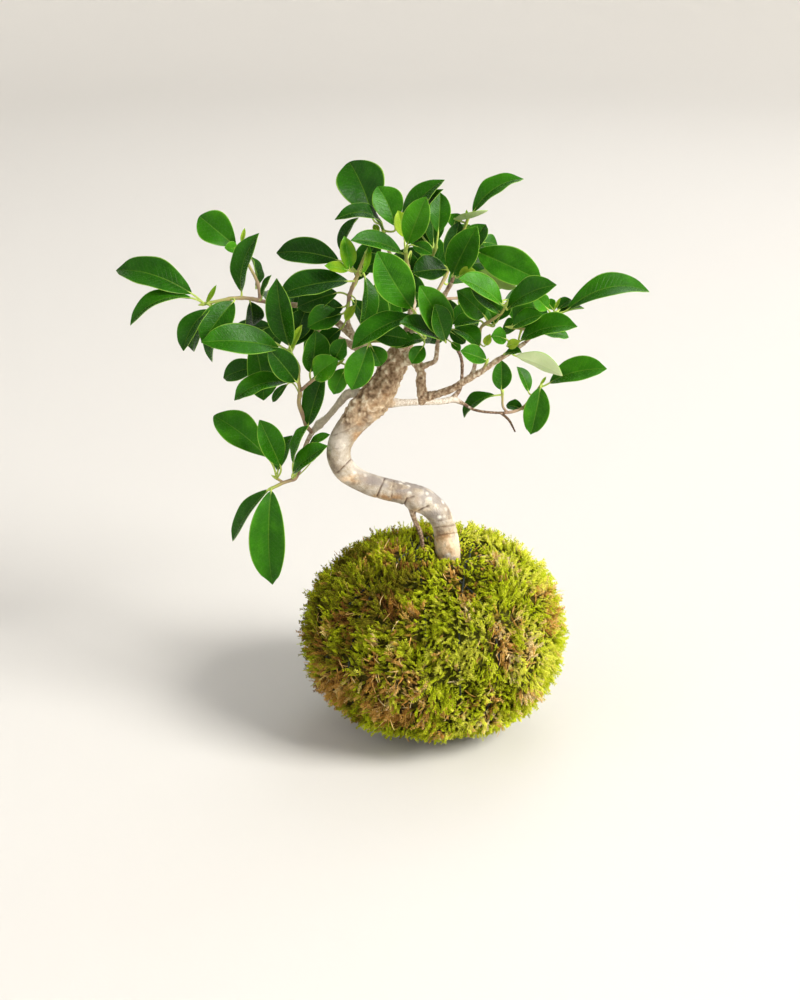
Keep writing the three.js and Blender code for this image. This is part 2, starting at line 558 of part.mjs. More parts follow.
// ---------------------------------------------------------------- moss ball
// Thread loops, each in a plane of its own that passes beside the trunk: the plane's normal, given by its
// heading and its tilt in degrees, and its distance from the middle of the ball.
const LOOPS = [
  [8, -4, -16], [44, -6, -18], [78, -5, 14], [112, 4, -9], [146, 3, 12], [172, -3, -22],
];
const ballMiddle = new THREE.Vector3(0, 0, BALL_MIDDLE);
const loops = LOOPS.map(([heading, tilt, offset]) => {
  const [turn, rise] = [THREE.MathUtils.degToRad(heading), THREE.MathUtils.degToRad(tilt)];
  const normal = new THREE.Vector3(Math.cos(turn), Math.sin(turn), Math.tan(rise)).normalize();
  return { normal, offset };
});

// The moss surface in a direction from the ball's middle: an egg-flat ball with soft lumps, drawn in along
// each thread, and pressed flat where it rests.
function mossPoint(direction) {
  const { x, y, z } = direction;
  const height = z > 0 ? BALL_RISE : BALL_DROP;
  const round = 1 / Math.sqrt((x * x + y * y) / BALL_RADIUS ** 2 + (z * z) / height ** 2);
  const lumps =
    1.2 * Math.sin(5.3 * x + 2.1 * z + 0.6) * Math.cos(4.7 * y - 1.9 * z + 1.1) +
    0.8 * Math.sin(9.1 * y + 3.7 * x + 2.3) * Math.cos(8.3 * z + 2.9 * y);
  let radius = round + lumps;
  for (const { normal, offset } of loops) {
    const away = (direction.dot(normal) * radius - offset) / THREAD_DENT_WIDTH;
    radius -= THREAD_DENT * Math.exp(-away * away);
  }
  const point = ballMiddle.clone().addScaledVector(direction, radius);
  point.z = Math.max(point.z, 0);
  return point;
}

function displacedBall(detail, place) {
  const geometry = new THREE.IcosahedronGeometry(1, detail);
  const position = geometry.attributes.position;
  const direction = new THREE.Vector3();
  for (let i = 0; i < position.count; i++) {
    const point = place(direction.fromBufferAttribute(position, i).normalize());
    position.setXYZ(i, point.x, point.y, point.z);
  }
  return geometry;
}

function soilPoint(extra) {
  return ({ x, y, z }) => {
    const height = (z > 0 ? SOIL_RISE : SOIL_DROP) + extra;
    const radius = 1 / Math.sqrt((x * x + y * y) / (SOIL_RADIUS + extra) ** 2 + (z * z) / height ** 2);
    return ballMiddle.clone().add(new THREE.Vector3(x, y, z).multiplyScalar(radius));
  };
}

// One loop of thread, laid on the faceted moss: at each step its distance from the loop's own middle is the
// furthest that the moss reaches there, a little to either side and half a step before and after.
function threadLoop({ normal, offset }, moss, extra) {
  const middle = ballMiddle.clone().addScaledVector(normal, offset);
  const level = new THREE.Vector3(0, 0, 1).cross(normal).normalize();
  const upward = normal.clone().cross(level);
  const radius = THREAD_RADIUS + extra;
  const probe = new THREE.Raycaster();
  const samples = THREAD_STEPS * 3;
  const reach = Array.from({ length: samples }, (_, i) => {
    const angle = (2 * Math.PI * i) / samples;
    const outward = level.clone().multiplyScalar(Math.cos(angle)).addScaledVector(upward, Math.sin(angle));
    return Math.max(
      ...[-THREAD_RADIUS, 0, THREAD_RADIUS].map((shift) => {
        probe.set(
          middle.clone().addScaledVector(normal, shift).addScaledVector(outward, OUTSIDE),
          outward.clone().negate(),
        );
        return OUTSIDE - probe.intersectObject(moss)[0].distance;
      }),
    );
  });
  const rings = [];
  for (let i = 0; i < THREAD_STEPS; i++) {
    const angle = (2 * Math.PI * i) / THREAD_STEPS;
    const outward = level.clone().multiplyScalar(Math.cos(angle)).addScaledVector(upward, Math.sin(angle));
    const near = [-3, -2, -1, 0, 1, 2, 3].map((k) => reach[(3 * i + k + samples) % samples]);
    const centre = middle.clone().addScaledVector(outward, Math.max(...near) + THREAD_RADIUS + GAP);
    centre.z = Math.max(centre.z, THREAD_RADIUS);
    rings.push(
      Array.from({ length: THREAD_SIDES }, (_, k) => {
        const turn = (2 * Math.PI * k) / THREAD_SIDES;
        const off = outward.clone().multiplyScalar(Math.cos(turn)).addScaledVector(normal, Math.sin(turn));
        return centre.clone().addScaledVector(off, radius);
      }),
    );
  }
  const points = rings.flat();
  const faces = [];
  for (let i = 0; i < THREAD_STEPS; i++) {
    for (let k = 0; k < THREAD_SIDES; k++) {
      const a = i * THREAD_SIDES + k;
      const b = i * THREAD_SIDES + ((k + 1) % THREAD_SIDES);
      const c = ((i + 1) % THREAD_STEPS) * THREAD_SIDES + k;
      const d = ((i + 1) % THREAD_STEPS) * THREAD_SIDES + ((k + 1) % THREAD_SIDES);
      faces.push(a, c, d, a, d, b);
    }
  }
  return solidOf(meshOf(points, faces));
}

// ---------------------------------------------------------------- assembly
const group = new THREE.Group();

function add(name, solid, color, roughness) {
  const made = solid.asOriginal().simplify(SLIVER).getMesh();
  const geometry = new THREE.BufferGeometry();
  geometry.setAttribute('position', new THREE.Float32BufferAttribute(made.vertProperties, 3));
  geometry.setIndex(Array.from(made.triVerts));
  geometry.computeVertexNormals();
  const mesh = new THREE.Mesh(geometry, new THREE.MeshStandardMaterial({ color, roughness, metalness: 0 }));
  mesh.name = name;
  group.add(mesh);
}

const limbs = Object.values(LIMBS);
const trunk = wasm.Manifold.union([
  wood(TRUNK, WOOD_SIDES),
  ...limbs.map((points) => wood(points, TWIG_SIDES, 1)),
]);
const woodRoom = wasm.Manifold.union([
  wood(TRUNK, WOOD_SIDES, 2, GAP),
  ...limbs.map((points) => wood(points, TWIG_SIDES, 1, GAP)),
]);

const mossGeometry = displacedBall(BALL_DETAIL, mossPoint);
const mossSurface = new THREE.Mesh(mossGeometry.clone(), new THREE.MeshBasicMaterial());
const thread = wasm.Manifold.union(loops.map((loop) => threadLoop(loop, mossSurface, 0)));
const threadRoom = wasm.Manifold.union(loops.map((loop) => threadLoop(loop, mossSurface, GAP)));
const moss = solidOf(mossGeometry)
  .subtract(solidOf(displacedBall(SOIL_DETAIL, soilPoint(GAP))))
  .subtract(woodRoom)
  .subtract(threadRoom);
const soil = solidOf(displacedBall(SOIL_DETAIL, soilPoint(0))).subtract(woodRoom);

add('soil_ball', soil, '#3b2a1c', 1);
add('moss_wrap', moss, '#7c8f24', 1);
add('binding_thread', thread, '#1e2a26', 0.8);
add('trunk', trunk, '#c4b29c', 0.85);
for (const [name, spec] of Object.entries(SHOOTS)) add(name, shoot(spec), spec.color, 0.35);

export default group;
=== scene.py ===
"""The looks of a kokedama: a small bonsai fig in a ball of moss that is bound with dark thread.

Runs in Blender 4.5 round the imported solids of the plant. The tables and the shape functions are in
millimetres, +Z up, from the centre of the flat spot that the ball rests on. Meshes are made in metres.
"""

import math
from collections import namedtuple

import bpy
import numpy as np
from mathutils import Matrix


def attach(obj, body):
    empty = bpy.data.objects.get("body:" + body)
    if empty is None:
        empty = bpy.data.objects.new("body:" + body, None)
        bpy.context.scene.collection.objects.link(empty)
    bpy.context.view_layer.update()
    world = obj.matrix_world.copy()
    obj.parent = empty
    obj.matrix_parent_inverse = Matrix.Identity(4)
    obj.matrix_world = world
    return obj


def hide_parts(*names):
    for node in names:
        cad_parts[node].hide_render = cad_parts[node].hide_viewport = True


bl_info = {
    "name": "Kokedama",
    "version": (1, 0, 0),
    "blender": (4, 5, 0),
    "location": "3D View > Sidebar > Kokedama",
    "description": "A bonsai fig in a thread-bound moss ball",
    "category": "Object",
}

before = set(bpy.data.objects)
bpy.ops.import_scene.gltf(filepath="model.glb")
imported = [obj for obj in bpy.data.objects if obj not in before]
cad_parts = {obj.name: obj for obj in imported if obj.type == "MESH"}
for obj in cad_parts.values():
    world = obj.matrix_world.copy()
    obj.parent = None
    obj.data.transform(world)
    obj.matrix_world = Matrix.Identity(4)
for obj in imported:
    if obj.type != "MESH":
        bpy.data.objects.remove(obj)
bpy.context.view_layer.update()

MM = 0.001

# ---------------------------------------------------------------- driving sizes
BALL_RADIUS = 71.5
BALL_MIDDLE = 57.0
BALL_RISE = 57.0
BALL_DROP = 61.0
BALL_CENTRE = np.array((0.0, 0.0, BALL_MIDDLE))
SOIL_RADIUS = 58.0
SOIL_RISE = 45.0
SOIL_DROP = 44.0
SOIL_LUMP = 6.0
SOIL_LUMP_DEPTH = 2.5
FELT_GRAIN = 2.6
FELT_DEPTH = (1.6, 4.0)  # how far the felt lies under the moss surface, at least and at most
THREAD_RADIUS = 0.6
THREAD_PITCH = 3.4
THREAD_LIFT = 0.9
THREAD_DENT = 2.6
THREAD_DENT_WIDTH = 5.5
FLOOR_CLEARANCE = 0.2
FOOT = (8.0, -4.0)  # the middle of the hollow that the trunk stands in
FOOT_HOLLOW = 10.0
FOOT_HOLLOW_WIDTH = 13.0
MARGIN_RISE = 0.36  # how far a blade's margin stands above its rib, per half width
PETIOLE_RADIUS = 0.62
BARK_VOXEL = 0.55

# Sprigs of moss. Pairs are the least and the most, unless they say otherwise.
SPRIG_PIECES = 7
SPRIG_LENGTH = (5.0, 10.4)
SPRIG_LEAN = (52, 20)  # middle and spread of the degrees between a sprig and the way out of the ball
SPRIG_BEND = (0.05, 0.16)  # middle and spread of how far the end is bent up, over the length
SPRIG_WANDER = 0.75  # spread of a sprig's heading, in radians
STEM_RADII = (0.26, 0.18)  # at the foot and at the middle
LEAFLET_STATIONS = np.array([0.2, 0.34, 0.47, 0.6, 0.72, 0.84])  # shares of the stem's length
LEAFLET_ANGLE = (24, 46)  # degrees off the stem
LEAFLET_HALF_WIDTH = (0.3, 0.5)
LEAFLET_KEEL = 0.16  # how far the keel stands under the leaflet
DEAD_SPRIGS = 0.03  # the share of sprigs that are dead anywhere
THREAD_CLEAR = 1.5  # sprigs that are nearer to a thread's plane are thinned out
THREAD_KEPT = 0.45  # the share of them that stays
TRUNK_CLEAR = 9.0  # no sprig is nearer to the middle of the trunk's foot
REST_CLEAR = 2.0  # no sprig is rooted lower
DEAD_BLADE_LENGTH = (3.5, 8)
DEAD_BLADE_RADIUS = (0.22, 0.42)
BLADES_PER_MM2 = 0.24  # dead blades in a patch, over its half widths' product
SCATTERED_BLADES = 90

# The viewer's place, and the camera there: it looks along +Y, tipped down.
EYE = np.array((-20.0, -1079.0, 559.0))
EYE_PITCH = 21.3
LENS = 73.9
SENSOR = 36.0
LIT_PLACE = np.array((-0.02, 0.0, 0.15))  # in metres: the leafy middle of the plant, which the lights face

# Limbs and leaves are placed as the viewer sees them: x and z are where the sight line meets the upright
# plane through the rest spot, and `back` is how far behind that plane the point lies.
# Wood: (x, z, back, radius) along each limb.
WOOD = {
    "trunk": [
        (8, 78, 6, 8.5), (8, 92, 5, 8), (7.2, 104, 4, 7), (6.3, 114, 3, 6.7), (4.5, 123, 2, 6.4),
        (0.5, 131.5, 1, 6.8), (-7, 138, 0, 7), (-16, 141.8, 0, 6.4), (-27, 144.8, 0, 6.5),
        (-39, 148.8, 0, 6.3), (-49, 154.5, 0, 6.2), (-53.6, 162.5, 0, 6.4), (-53.4, 171.5, 0, 6.6),
        (-49.2, 180, 0, 7.4), (-42, 189.2, 0, 8.2), (-34.4, 197.6, 0, 9.2), (-29, 206.3, 1, 8.3),
        (-24.5, 215.5, 2, 7.6), (-20.5, 224, 3, 6.4), (-17.5, 232, 5, 4.8),
    ],
    "air_root": [
        (-12.5, 137, -1, 2.2), (-13, 131.5, -2, 1.6), (-11.3, 125, -3, 1.3), (-8.6, 119, -4, 1.3),
        (-7.2, 110, -3, 1.1),
    ],
    "hanging": [
        (-38, 199, 3, 3.6), (-43.5, 202, 7, 2.5), (-49, 201.5, 9, 2.1), (-54.5, 195, 12, 1.9),
        (-60.5, 187.5, 13, 1.7), (-64.8, 183.6, 14, 2.4), (-69, 178.5, 14, 1.5), (-72.5, 171.5, 13, 1.3),
        (-75, 163.5, 12, 1.2), (-76.5, 156, 11, 1.1),
    ],
    "far_left": [
        (-24, 214, 3, 4.6), (-34, 224, 5, 3), (-46, 235, 8, 2.3), (-57, 244.5, 10, 1.9),
        (-68, 251, 10, 1.6), (-80, 252.3, 8, 1.4), (-91, 253.5, 5, 1.2),
    ],
    "left": [(-46, 235, 8, 1.9), (-48.5, 243, 3, 1.4), (-48.5, 250, 0, 1.2)],
    "heart": [(-20, 225, 2, 3.2), (-15.5, 233, -6, 1.9), (-13, 239, -12, 1.4)],
    "top": [(-17.5, 231, 5, 4.4), (-14.5, 240, 4, 2.9), (-13.3, 252, 2, 2.1), (-14, 263, 0, 1.6)],
    "top_left": [(-13.6, 255, 2, 1.7), (-18.5, 266, 6, 1.4), (-24, 277, 10, 1.2)],
    "top_right": [(-14.5, 240, 4, 2.4), (-5, 248, 10, 1.8), (3.5, 257, 12, 1.5), (8, 265, 12, 1.3)],
    "front": [
        (-19, 222, 2, 4.6), (-12.5, 221.5, -7, 3.2), (-8.5, 214, -14, 2.6), (-8.3, 206, -18, 2.7),
        (-7, 200, -20, 3), (-1, 200.8, -22, 2.2), (8, 203.8, -26, 1.9), (17, 209.6, -30, 1.8),
        (25, 214.3, -33, 1.6), (31, 219, -35, 1.5), (39, 224.2, -37, 1.3), (48.5, 230.8, -38, 1.1),
    ],
    "front_stub": [(-7, 201, -20, 2.8), (-8, 196.6, -20, 2.2), (-8.3, 195, -20, 1.3)],
    "loop": [
        (-8.6, 216.5, -12, 1.9), (-4.8, 218.3, -13, 1.5), (-0.8, 220.5, -14, 1.3), (0.2, 225.5, -15, 1.2),
        (0.6, 231.5, -16, 1.1),
    ],
    "right_twig": [(18, 210, -30, 1.5), (20.4, 214.5, -30, 1.2), (21.6, 220.5, -29, 1.1)],
    "back": [
        (-27, 196.5, 2, 3.4), (-20, 196.2, 9, 2.2), (-9, 196.6, 16, 1.8), (3, 196.9, 22, 1.8),
        (9.5, 198, 25, 1.9), (15, 195.6, 27, 1), (21, 192.1, 29, 0.8), (29, 190.6, 32, 0.8),
        (37.5, 190.2, 35, 0.9),
    ],
    "back_riser": [
        (9, 198.5, 25, 1.6), (13, 204, 28, 1.1), (14.2, 213, 31, 1), (13.6, 222, 33, 1),
        (9.5, 230.5, 34, 1),
    ],
    "back_snag": [(36, 190.2, 34, 0.9), (40.5, 186, 41, 0.8), (44.2, 179, 48, 0.6)],
    "rear_left": [(-30, 219, 5, 3.2), (-42, 227, 20, 2.2), (-56, 234, 34, 1.6), (-66, 238, 42, 1.3)],
    "rear": [(-20, 226, 4, 3.4), (-14, 236, 20, 2.2), (-8, 244, 36, 1.6), (-4, 250, 46, 1.3)],
    "left_snag": [(-35, 208, 1, 2), (-38.4, 212.6, -4, 1), (-41.4, 215.4, -8, 0.8)],
}

# Shoots: stems are (x, z, back, radius), and the first one starts at the limb point named. Leaves are the
# base's x, z, back, the tip's x, z, back, width, turn, arch, tone and, where the tip isn't plain, how blunt
# it is, which is below 0 for a drawn-out one. At turn 0 the upper face looks at the viewer, at 90 it is seen
# on edge; arch is the rib's rise over its length; tone runs from dark to young.
# Tones are partly each leaf's own age and partly painted shade and light on that leaf.
SHOOTS = {
    "shoot_far_left": {
        "limb": ("far_left", -1),
        "stems": [
            [
                (-96, 254.6, 4, 1.1), (-103, 256, 2, 1), (-110, 256, 0, 1), (-118, 254.6, -3, 0.9),
                (-126.5, 252.8, -6, 0.8),
            ],
            [(-96, 254.6, 4, 1), (-97, 264, 9, 0.9), (-101.5, 274, 13, 0.8), (-106.5, 283, 15, 0.7)],
        ],
        "leaves": [
            (-133, 258.5, -5, -173.5, 271.5, 6, 19, 25, 0.17, 0.27),
            (-133, 256, -8, -167, 240.5, -16, 14, 60, 0.19, 0.4),
            (-125.5, 253.5, -8, -119.5, 263.5, -12, 3, 20, 0.05, 0.8),
            (-123.5, 249.5, -12, -139, 226, -24, 15, 50, 0.16, 0.25),
            (-124, 249, 0, -133.5, 226, 8, 14, 45, 0.14, 0.15),
            (-110.5, 254, -6, -128.5, 230.5, -20, 17, 18, 0.08, 0.32),
            (-114, 251, 4, -123.5, 219.5, 12, 14, 50, 0.12, 0.26),
            (-108, 284.5, 16, -127.5, 301.5, 22, 19, 12, 0.05, 0.4, 1),
            (-107.5, 283.5, 12, -114.5, 284, 6, 7, 20, 0.1, 0.6),
            (-105.5, 287, 15, -103.3, 295, 13, 2.6, 20, 0.05, 0.85),
            (-106, 259.5, 1, -95.5, 292, -3, 15, 42, 0.14, 0.3),
            (-98, 262.5, 14, -100.5, 279.5, 22, 13, 72, 0.08, 0.3),
            (-95, 256.5, -1, -89.5, 269, -6, 5, 55, 0.08, 0.3),
            # Painted shade: this leaf lies in shade and has tone 0.
            (-101.5, 254, 8, -100.5, 240, 18, 13, 30, 0.08, 0),
        ],
    },
    "shoot_left": {
        "limb": ("left", -1),
        "stems": [
            [
                (-47.5, 257, -3, 1.1), (-45.5, 263, -5, 1), (-43, 269, -6, 1), (-40.5, 276, -7, 0.8),
                (-38.5, 281, -8, 0.7),
            ],
        ],
        "leaves": [
            (-53, 277, 3, -86.5, 281, 12, 17, 28, 0.08, 0.1),
            (-48, 265.5, -9, -86, 257.5, -17, 18, 40, 0.08, 0.1),
            (-52, 247, -4, -70.5, 239.5, -12, 15, 25, 0.1, 0.4),
            (-51, 251, -2, -66, 247.5, -4, 12, 20, 0.08, 0.1),
            (-47.3, 272, -9, -50, 290.5, -11, 9, 15, 0.1, 0.72),
            (-48, 271.5, -10, -60.8, 274.2, -16, 6.5, 25, 0.1, 0.72),
            (-40.6, 269, -10, -36.6, 285.8, -12, 4.5, 40, 0.05, 0.7),
            (-51, 281, 15, -42, 300.5, 24, 13, 64, 0.1, 0.2),
            (-39, 268, -12, -41.5, 240, -20, 14, 50, 0.1, 0.35),
            (-44.5, 252, -12, -49.8, 243, -16, 5, 10, 0.1, 0.85),
            (-52.5, 238.5, 1, -64, 225.5, -4, 12, 25, 0.1, 0.3),
            (-54, 259, -1, -76, 251, 2, 15, 20, 0.08, 0.2),
            (-43, 266, 4, -32, 288, 14, 15, 25, 0.08, 0.2),
            (-46, 255, 6, -35, 237, 16, 14, 30, 0.08, 0.15),
            (-41, 272, 0, -28, 277, 2, 12, 25, 0.08, 0.25),
        ],
    },
    "shoot_low_left": {
        "limb": ("hanging", 6),
        "stems": [
            [
                (-71.8, 182.5, 9, 1.2), (-74, 189, 5, 1.3), (-76, 196, 0, 1.2), (-75.2, 203, -3, 1.1),
                (-76.2, 210, -5, 1), (-75.8, 217, -7, 1), (-80, 225, -10, 0.8),
            ],
            [(-75.2, 203, -3, 1), (-68, 209.3, -10, 0.8), (-60, 214, -13, 0.7), (-53, 219.4, -15, 0.7)],
        ],
        "leaves": [
            (-86.5, 227.5, -13, -129, 231, -28, 19.5, 35, 0.1, 0.38),
            (-80.5, 229, -14, -86.5, 267.5, -27, 16, -28, 0.08, 0.2),
            (-80.8, 226, -10, -73.5, 241, -12, 4.5, 15, 0.05, 0.88),
            (-80, 229, -4, -67, 243.5, 2, 13, 20, 0.05, 0.2),
            (-101, 235, 4, -95.5, 197.5, 8, 18, 18, 0.08, 0.3),
            (-96, 217, 9, -117.5, 210.5, 14, 13, 30, 0.1, 0.28),
            (-81.5, 208, -8, -111.8, 197.5, -12, 15, 46, 0.19, 0.42),
            (-77.5, 208.5, -10, -92.5, 228, -18, 15, 10, 0.06, 0.15),
            (-82, 207, 6, -90.5, 196.5, 11, 5, 25, 0.05, 0.3),
            (-71, 183, 6, -61, 214.5, -1, 14, 30, 0.06, 0.25),
            (-69.5, 214, -5, -66, 238, -9, 17, 24, 0.06, 0.3),
            (-67, 210.5, -12, -53.8, 221.3, -20, 15, 25, 0.08, 0.6),
            (-56, 221, -17, -50, 233, -20, 11, 20, 0.05, 0.35),
            (-49.8, 216, -19, -56.8, 201, -24, 11, 15, 0.1, 0.55),
            (-77, 232, -4, -71, 250, 1, 14, 20, 0.08, 0.15),
        ],
    },
    "shoot_hanging": {
        "limb": ("hanging", -1),
        "stems": [
            [(-79, 151.5, 10, 1.1), (-85.5, 148.8, 8, 1), (-89, 147, 6, 1), (-92.6, 145.2, 3, 0.8)],
            [(-85.5, 148.8, 8, 0.8), (-89.5, 151.5, 8, 0.7)],
        ],
        "leaves": [
            (-94.5, 164, 8, -123.5, 188.5, 16, 20.5, 15, 0.06, 0.46, 1),
            (-87, 158.5, 2, -98, 186, -8, 15, 20, 0.05, 0.35, 0.6),
            (-88.5, 156, 14, -80, 177, 24, 13, 35, 0.08, 0.4),
            (-80, 160.5, 5, -70.5, 182.5, -3, 12, 60, 0.06, 0.5),
            (-80, 154.5, 3, -60.5, 171, -8, 14, 46, 0.08, 0.45),
            (-70.5, 171.5, 3, -59, 177.5, 0, 6, 40, 0.08, 0.5),
            (-70, 161, 12, -65.5, 166.5, 12, 3, 30, 0.05, 0.7),
            (-92.5, 144, 0, -93.3, 85.5, -10, 21, -8, 0.1, 0.43, -0.3),
            (-94, 144.5, 6, -115.5, 113, 18, 14, 58, 0.06, 0.35),
        ],
    },
    "shoot_top_left": {
        "limb": ("top_left", -1),
        "stems": [
            [(-26.5, 284, 12, 1), (-28, 290, 14, 0.9), (-30, 297, 16, 0.7)],
        ],
        "leaves": [
            (-34.5, 300, 20, -47, 331, 36, 26.5, 6, 0.05, 0.24, 1),
            (-29, 293.5, 10, -54.8, 299, -4, 12, 55, 0.27, 0.15),
            (-22.8, 296, 7, -32, 317.5, 12, 17, 6, 0.06, 0.48, 0.8),
            (-31.5, 292, 16, -34, 297, 18, 4, 10, 0.05, 0.8),
        ],
    },
    "shoot_top": {
        "limb": ("top", -1),
        "stems": [
            [(-15, 270, -2, 1.2), (-16.3, 276, -4, 1), (-17, 282, -6, 0.9)],
            [(-15, 270, 0, 1), (-9, 272, 4, 1), (-3.5, 278, 5, 0.9), (-0.8, 284, -1, 0.8)],
        ],
        "leaves": [
            (-16, 286, -10, -6, 312, -18, 15, 8, 0.06, 0.56, 0.5),
            (-17, 292, 4, 3.8, 321.3, 12, 15, 42, 0.18, 0.25),
            (-10, 296, 10, 3, 316.2, 2, 10, 62, 0.12, 0.2),
            (0.5, 292.3, -2, 1.5, 314.2, 5, 12, 8, 0.08, 0.4),
            (-19, 281, -5, -46.5, 288.2, -18, 14, 48, 0.08, 0.38),
            (-17.8, 290, -3, -21, 304.5, -3, 9, 15, 0.06, 0.86),
            (-13, 285.5, -9, -2.5, 280.5, -14, 8, 20, 0.08, 0.3),
            (-14, 281, 3, -15.8, 268.3, 6, 11, 20, 0.08, 0.2),
            (5.2, 271.8, 2, -13.4, 270, -4, 16, 30, 0.06, 0.08),
            (-18, 276, 2, -29, 261, 12, 14, 20, 0.08, 0.2),
            (-6, 281, 6, -15, 294, 16, 12, 25, 0.08, 0.2),
            (-2, 286, 6, -3.5, 304, 14, 12, 20, 0.08, 0.12),
        ],
    },
    "shoot_heart": {
        "limb": ("heart", -1),
        "stems": [
            [(-12.4, 242, -15, 1.1), (-12, 246.5, -19, 1)],
            [(-12.4, 242, -14, 1), (-21, 235, -12, 1), (-31, 232, -11, 0.9), (-40, 231.5, -12, 0.8)],
        ],
        "leaves": [
            (-13.4, 250, -24, -32.5, 282, -30, 21, 0, 0.05, 0.46, 0.5),
            (-13.5, 246, -23, -45.8, 227, -32, 17, 45, 0.1, 0.35),
            (-31, 236, -5, -34, 263.5, -8, 13, 20, 0.05, 0.35),
            (-26, 238, -4, -25.5, 258, 0, 12, 25, 0.05, 0.4),
            (-14.5, 232.5, -14, -37, 236, -22, 14, 22, 0.06, 0.35),
            (-37.5, 229, -22, -46.8, 203.5, -30, 16, 8, 0.06, 0.45),
            (-35.8, 229, -16, -30.5, 217.5, -17, 11, 5, 0.08, 0.45),
            (-7, 233, -12, -22.5, 227.5, -20, 13, 48, 0.08, 0.4),
            (-7.2, 228.8, -17, -13.6, 218.8, -22, 9.5, 8, 0.08, 0.45),
        ],
    },
    "shoot_centre": {
        "limb": ("loop", -1),
        "stems": [
            [(1.8, 235, -18, 1), (4, 238.5, -20, 0.8)],
        ],
        "leaves": [
            (6.2, 235, -22, -9.5, 263, -30, 18, 18, 0.14, 0.52, 0.5),
            (5, 231.5, -27, -1.5, 252.6, -36, 13, 20, 0.05, 0.26, 1),
            (4, 232, -25, -20.5, 242, -37, 15, 52, 0.05, 0.3),
            (9.5, 238.3, -24, 23.2, 228.5, -32, 13, 45, 0.14, 0.45),
            (7, 237.5, -18, 15.8, 230.5, -19, 9, 15, 0.08, 0.2),
            (8, 231, -20, 13.2, 226.3, -22, 5, 20, 0.05, 0.5),
            (7.5, 241, -14, 20.5, 252, -10, 10, 30, 0.05, 0.3),
        ],
    },
    "shoot_top_right": {
        "limb": ("top_right", -1),
        "stems": [
            [(9.5, 270, 11, 1.1), (11.2, 280, 11, 1), (13.2, 290, 9, 0.9), (16.2, 299.5, 8, 0.7)],
        ],
        "leaves": [
            (8.5, 269, 2, 21.5, 296, -10, 17.5, 8, 0.05, 0.42),
            (5.5, 276, 8, 11.5, 298.5, 12, 14, 25, 0.06, 0.1),
            (9.5, 300, 10, 27.2, 304.5, 0, 9, 112, -0.08, 0.8),
            (8.5, 295, 15, 11, 303, 20, 9, 20, 0.05, 0.5),
            (19, 303.3, 9, 46, 321.8, 18, 14, 42, 0.19, 0.4),
            (16, 299, 9, 15.6, 305, 8, 1.8, 0, 0.02, 0.85),
            (16.5, 281, 13, 26, 297, 20, 14, 28, 0.06, 0.3),
            (23, 287, 22, 32.5, 285.5, 28, 10, 30, 0.08, 0.35),
            (21.5, 282, 4, 57.2, 265.5, -9, 20, 12, 0.09, 0.45),
            (14.5, 275, 9, 26.5, 276, 15, 12, 20, 0.05, 0.18),
            (22, 271, 10, 42.8, 261.8, 2, 14, 150, 0.06, 0.5),
            (12, 268, -4, 20.8, 271.5, -9, 6.5, 20, 0.1, 0.8),
        ],
    },
    "shoot_right": {
        "limb": ("right_twig", -1),
        "stems": [
            [
                (22.4, 226, -27, 1), (23.6, 233, -26, 0.9), (24.3, 239.5, -26, 0.8), (29, 243, -30, 0.8),
                (35.5, 248, -35, 0.8), (37.5, 252, -36, 0.7),
            ],
        ],
        "leaves": [
            (35.5, 252.3, -37, 11.5, 266.8, -44, 17, 48, 0.08, 0.55),
            (35, 247.6, -34, 18.3, 261, -38, 14, 42, 0.06, 0.4),
            (26, 246, -28, 10.8, 260.3, -34, 16, 22, 0.1, 0.45),
            (23.8, 243.2, -27, 9.6, 240.3, -31, 11, 50, 0.08, 0.5),
            (38.6, 249.8, -38, 65, 263, -47, 16, 44, 0.13, 0.35),
            (26.8, 229.3, -32, 29.3, 235.8, -36, 4.5, 0, 0.05, 0.88),
            (31.5, 241.5, -24, 26.5, 253, -20, 10, 20, 0.05, 0.45),
            (33.5, 243.5, -22, 39.5, 252, -17, 10, 30, 0.05, 0.4),
        ],
    },
    "shoot_far_right": {
        "limb": ("front", -1),
        "stems": [
            [(53.5, 236, -37, 0.9), (59, 243, -35, 0.8), (64.5, 247.6, -34, 0.7)],
            [(53.5, 236, -37, 0.8), (47.5, 238.5, -38, 0.7), (41, 239.5, -38, 0.7)],
        ],
        "leaves": [
            (71, 249.3, -34, 115.8, 260, -24, 17, 42, 0.2, 0.38, 0.2),
            (66, 247, -33, 80.3, 250.3, -27, 11, 68, 0.06, 0.3),
            (66, 249.3, -29, 73, 255.3, -24, 8, 45, 0.06, 0.4),
            (64, 249, -36, 67.2, 256.3, -39, 1.8, 0, 0.02, 0.85),
            (60.3, 250, -37, 52.3, 257.8, -42, 9.5, 20, 0.06, 0.55),
            (63.5, 249.5, -29, 59.3, 254.6, -25, 7, 20, 0.05, 0.5),
            (42, 241.5, -35, 59.3, 251.3, -30, 20, 18, 0.2, 0.45),
            (41.5, 239.8, -41, 57.8, 246.5, -46, 12, 40, 0.08, 0.4),
            (46, 231.8, -43, 77, 240, -52, 17, 47, 0.13, 0.4),
            (58, 236, -31, 72.4, 233.8, -28, 8, 42, 0.08, 0.45),
            (46, 241, -31, 35.5, 237, -24, 10, 35, 0.05, 0.4),
        ],
    },
    "shoot_front": {
        "limb": ("front", 10),
        "stems": [
            [(40.5, 226.5, -39, 0.8), (40.2, 229, -40, 0.7)],
        ],
        "leaves": [
            (43.5, 223.3, -39, 69.3, 211.3, -46, 14, 128, 0.05, 1),
            (37.3, 224.3, -41, 46.8, 225.4, -45, 7, 55, 0.05, 0.35),
            (38.6, 229, -41, 45.8, 231.3, -45, 5.5, 10, 0.05, 0.85),
            (38.2, 232.8, -38, 29.8, 234.6, -42, 10, 25, 0.06, 0.5),
        ],
    },
    "shoot_front_low": {
        "limb": ("front", 8),
        "stems": [
            [(26.5, 217, -36, 0.8), (27.6, 219.6, -38, 0.7)],
        ],
        "leaves": [
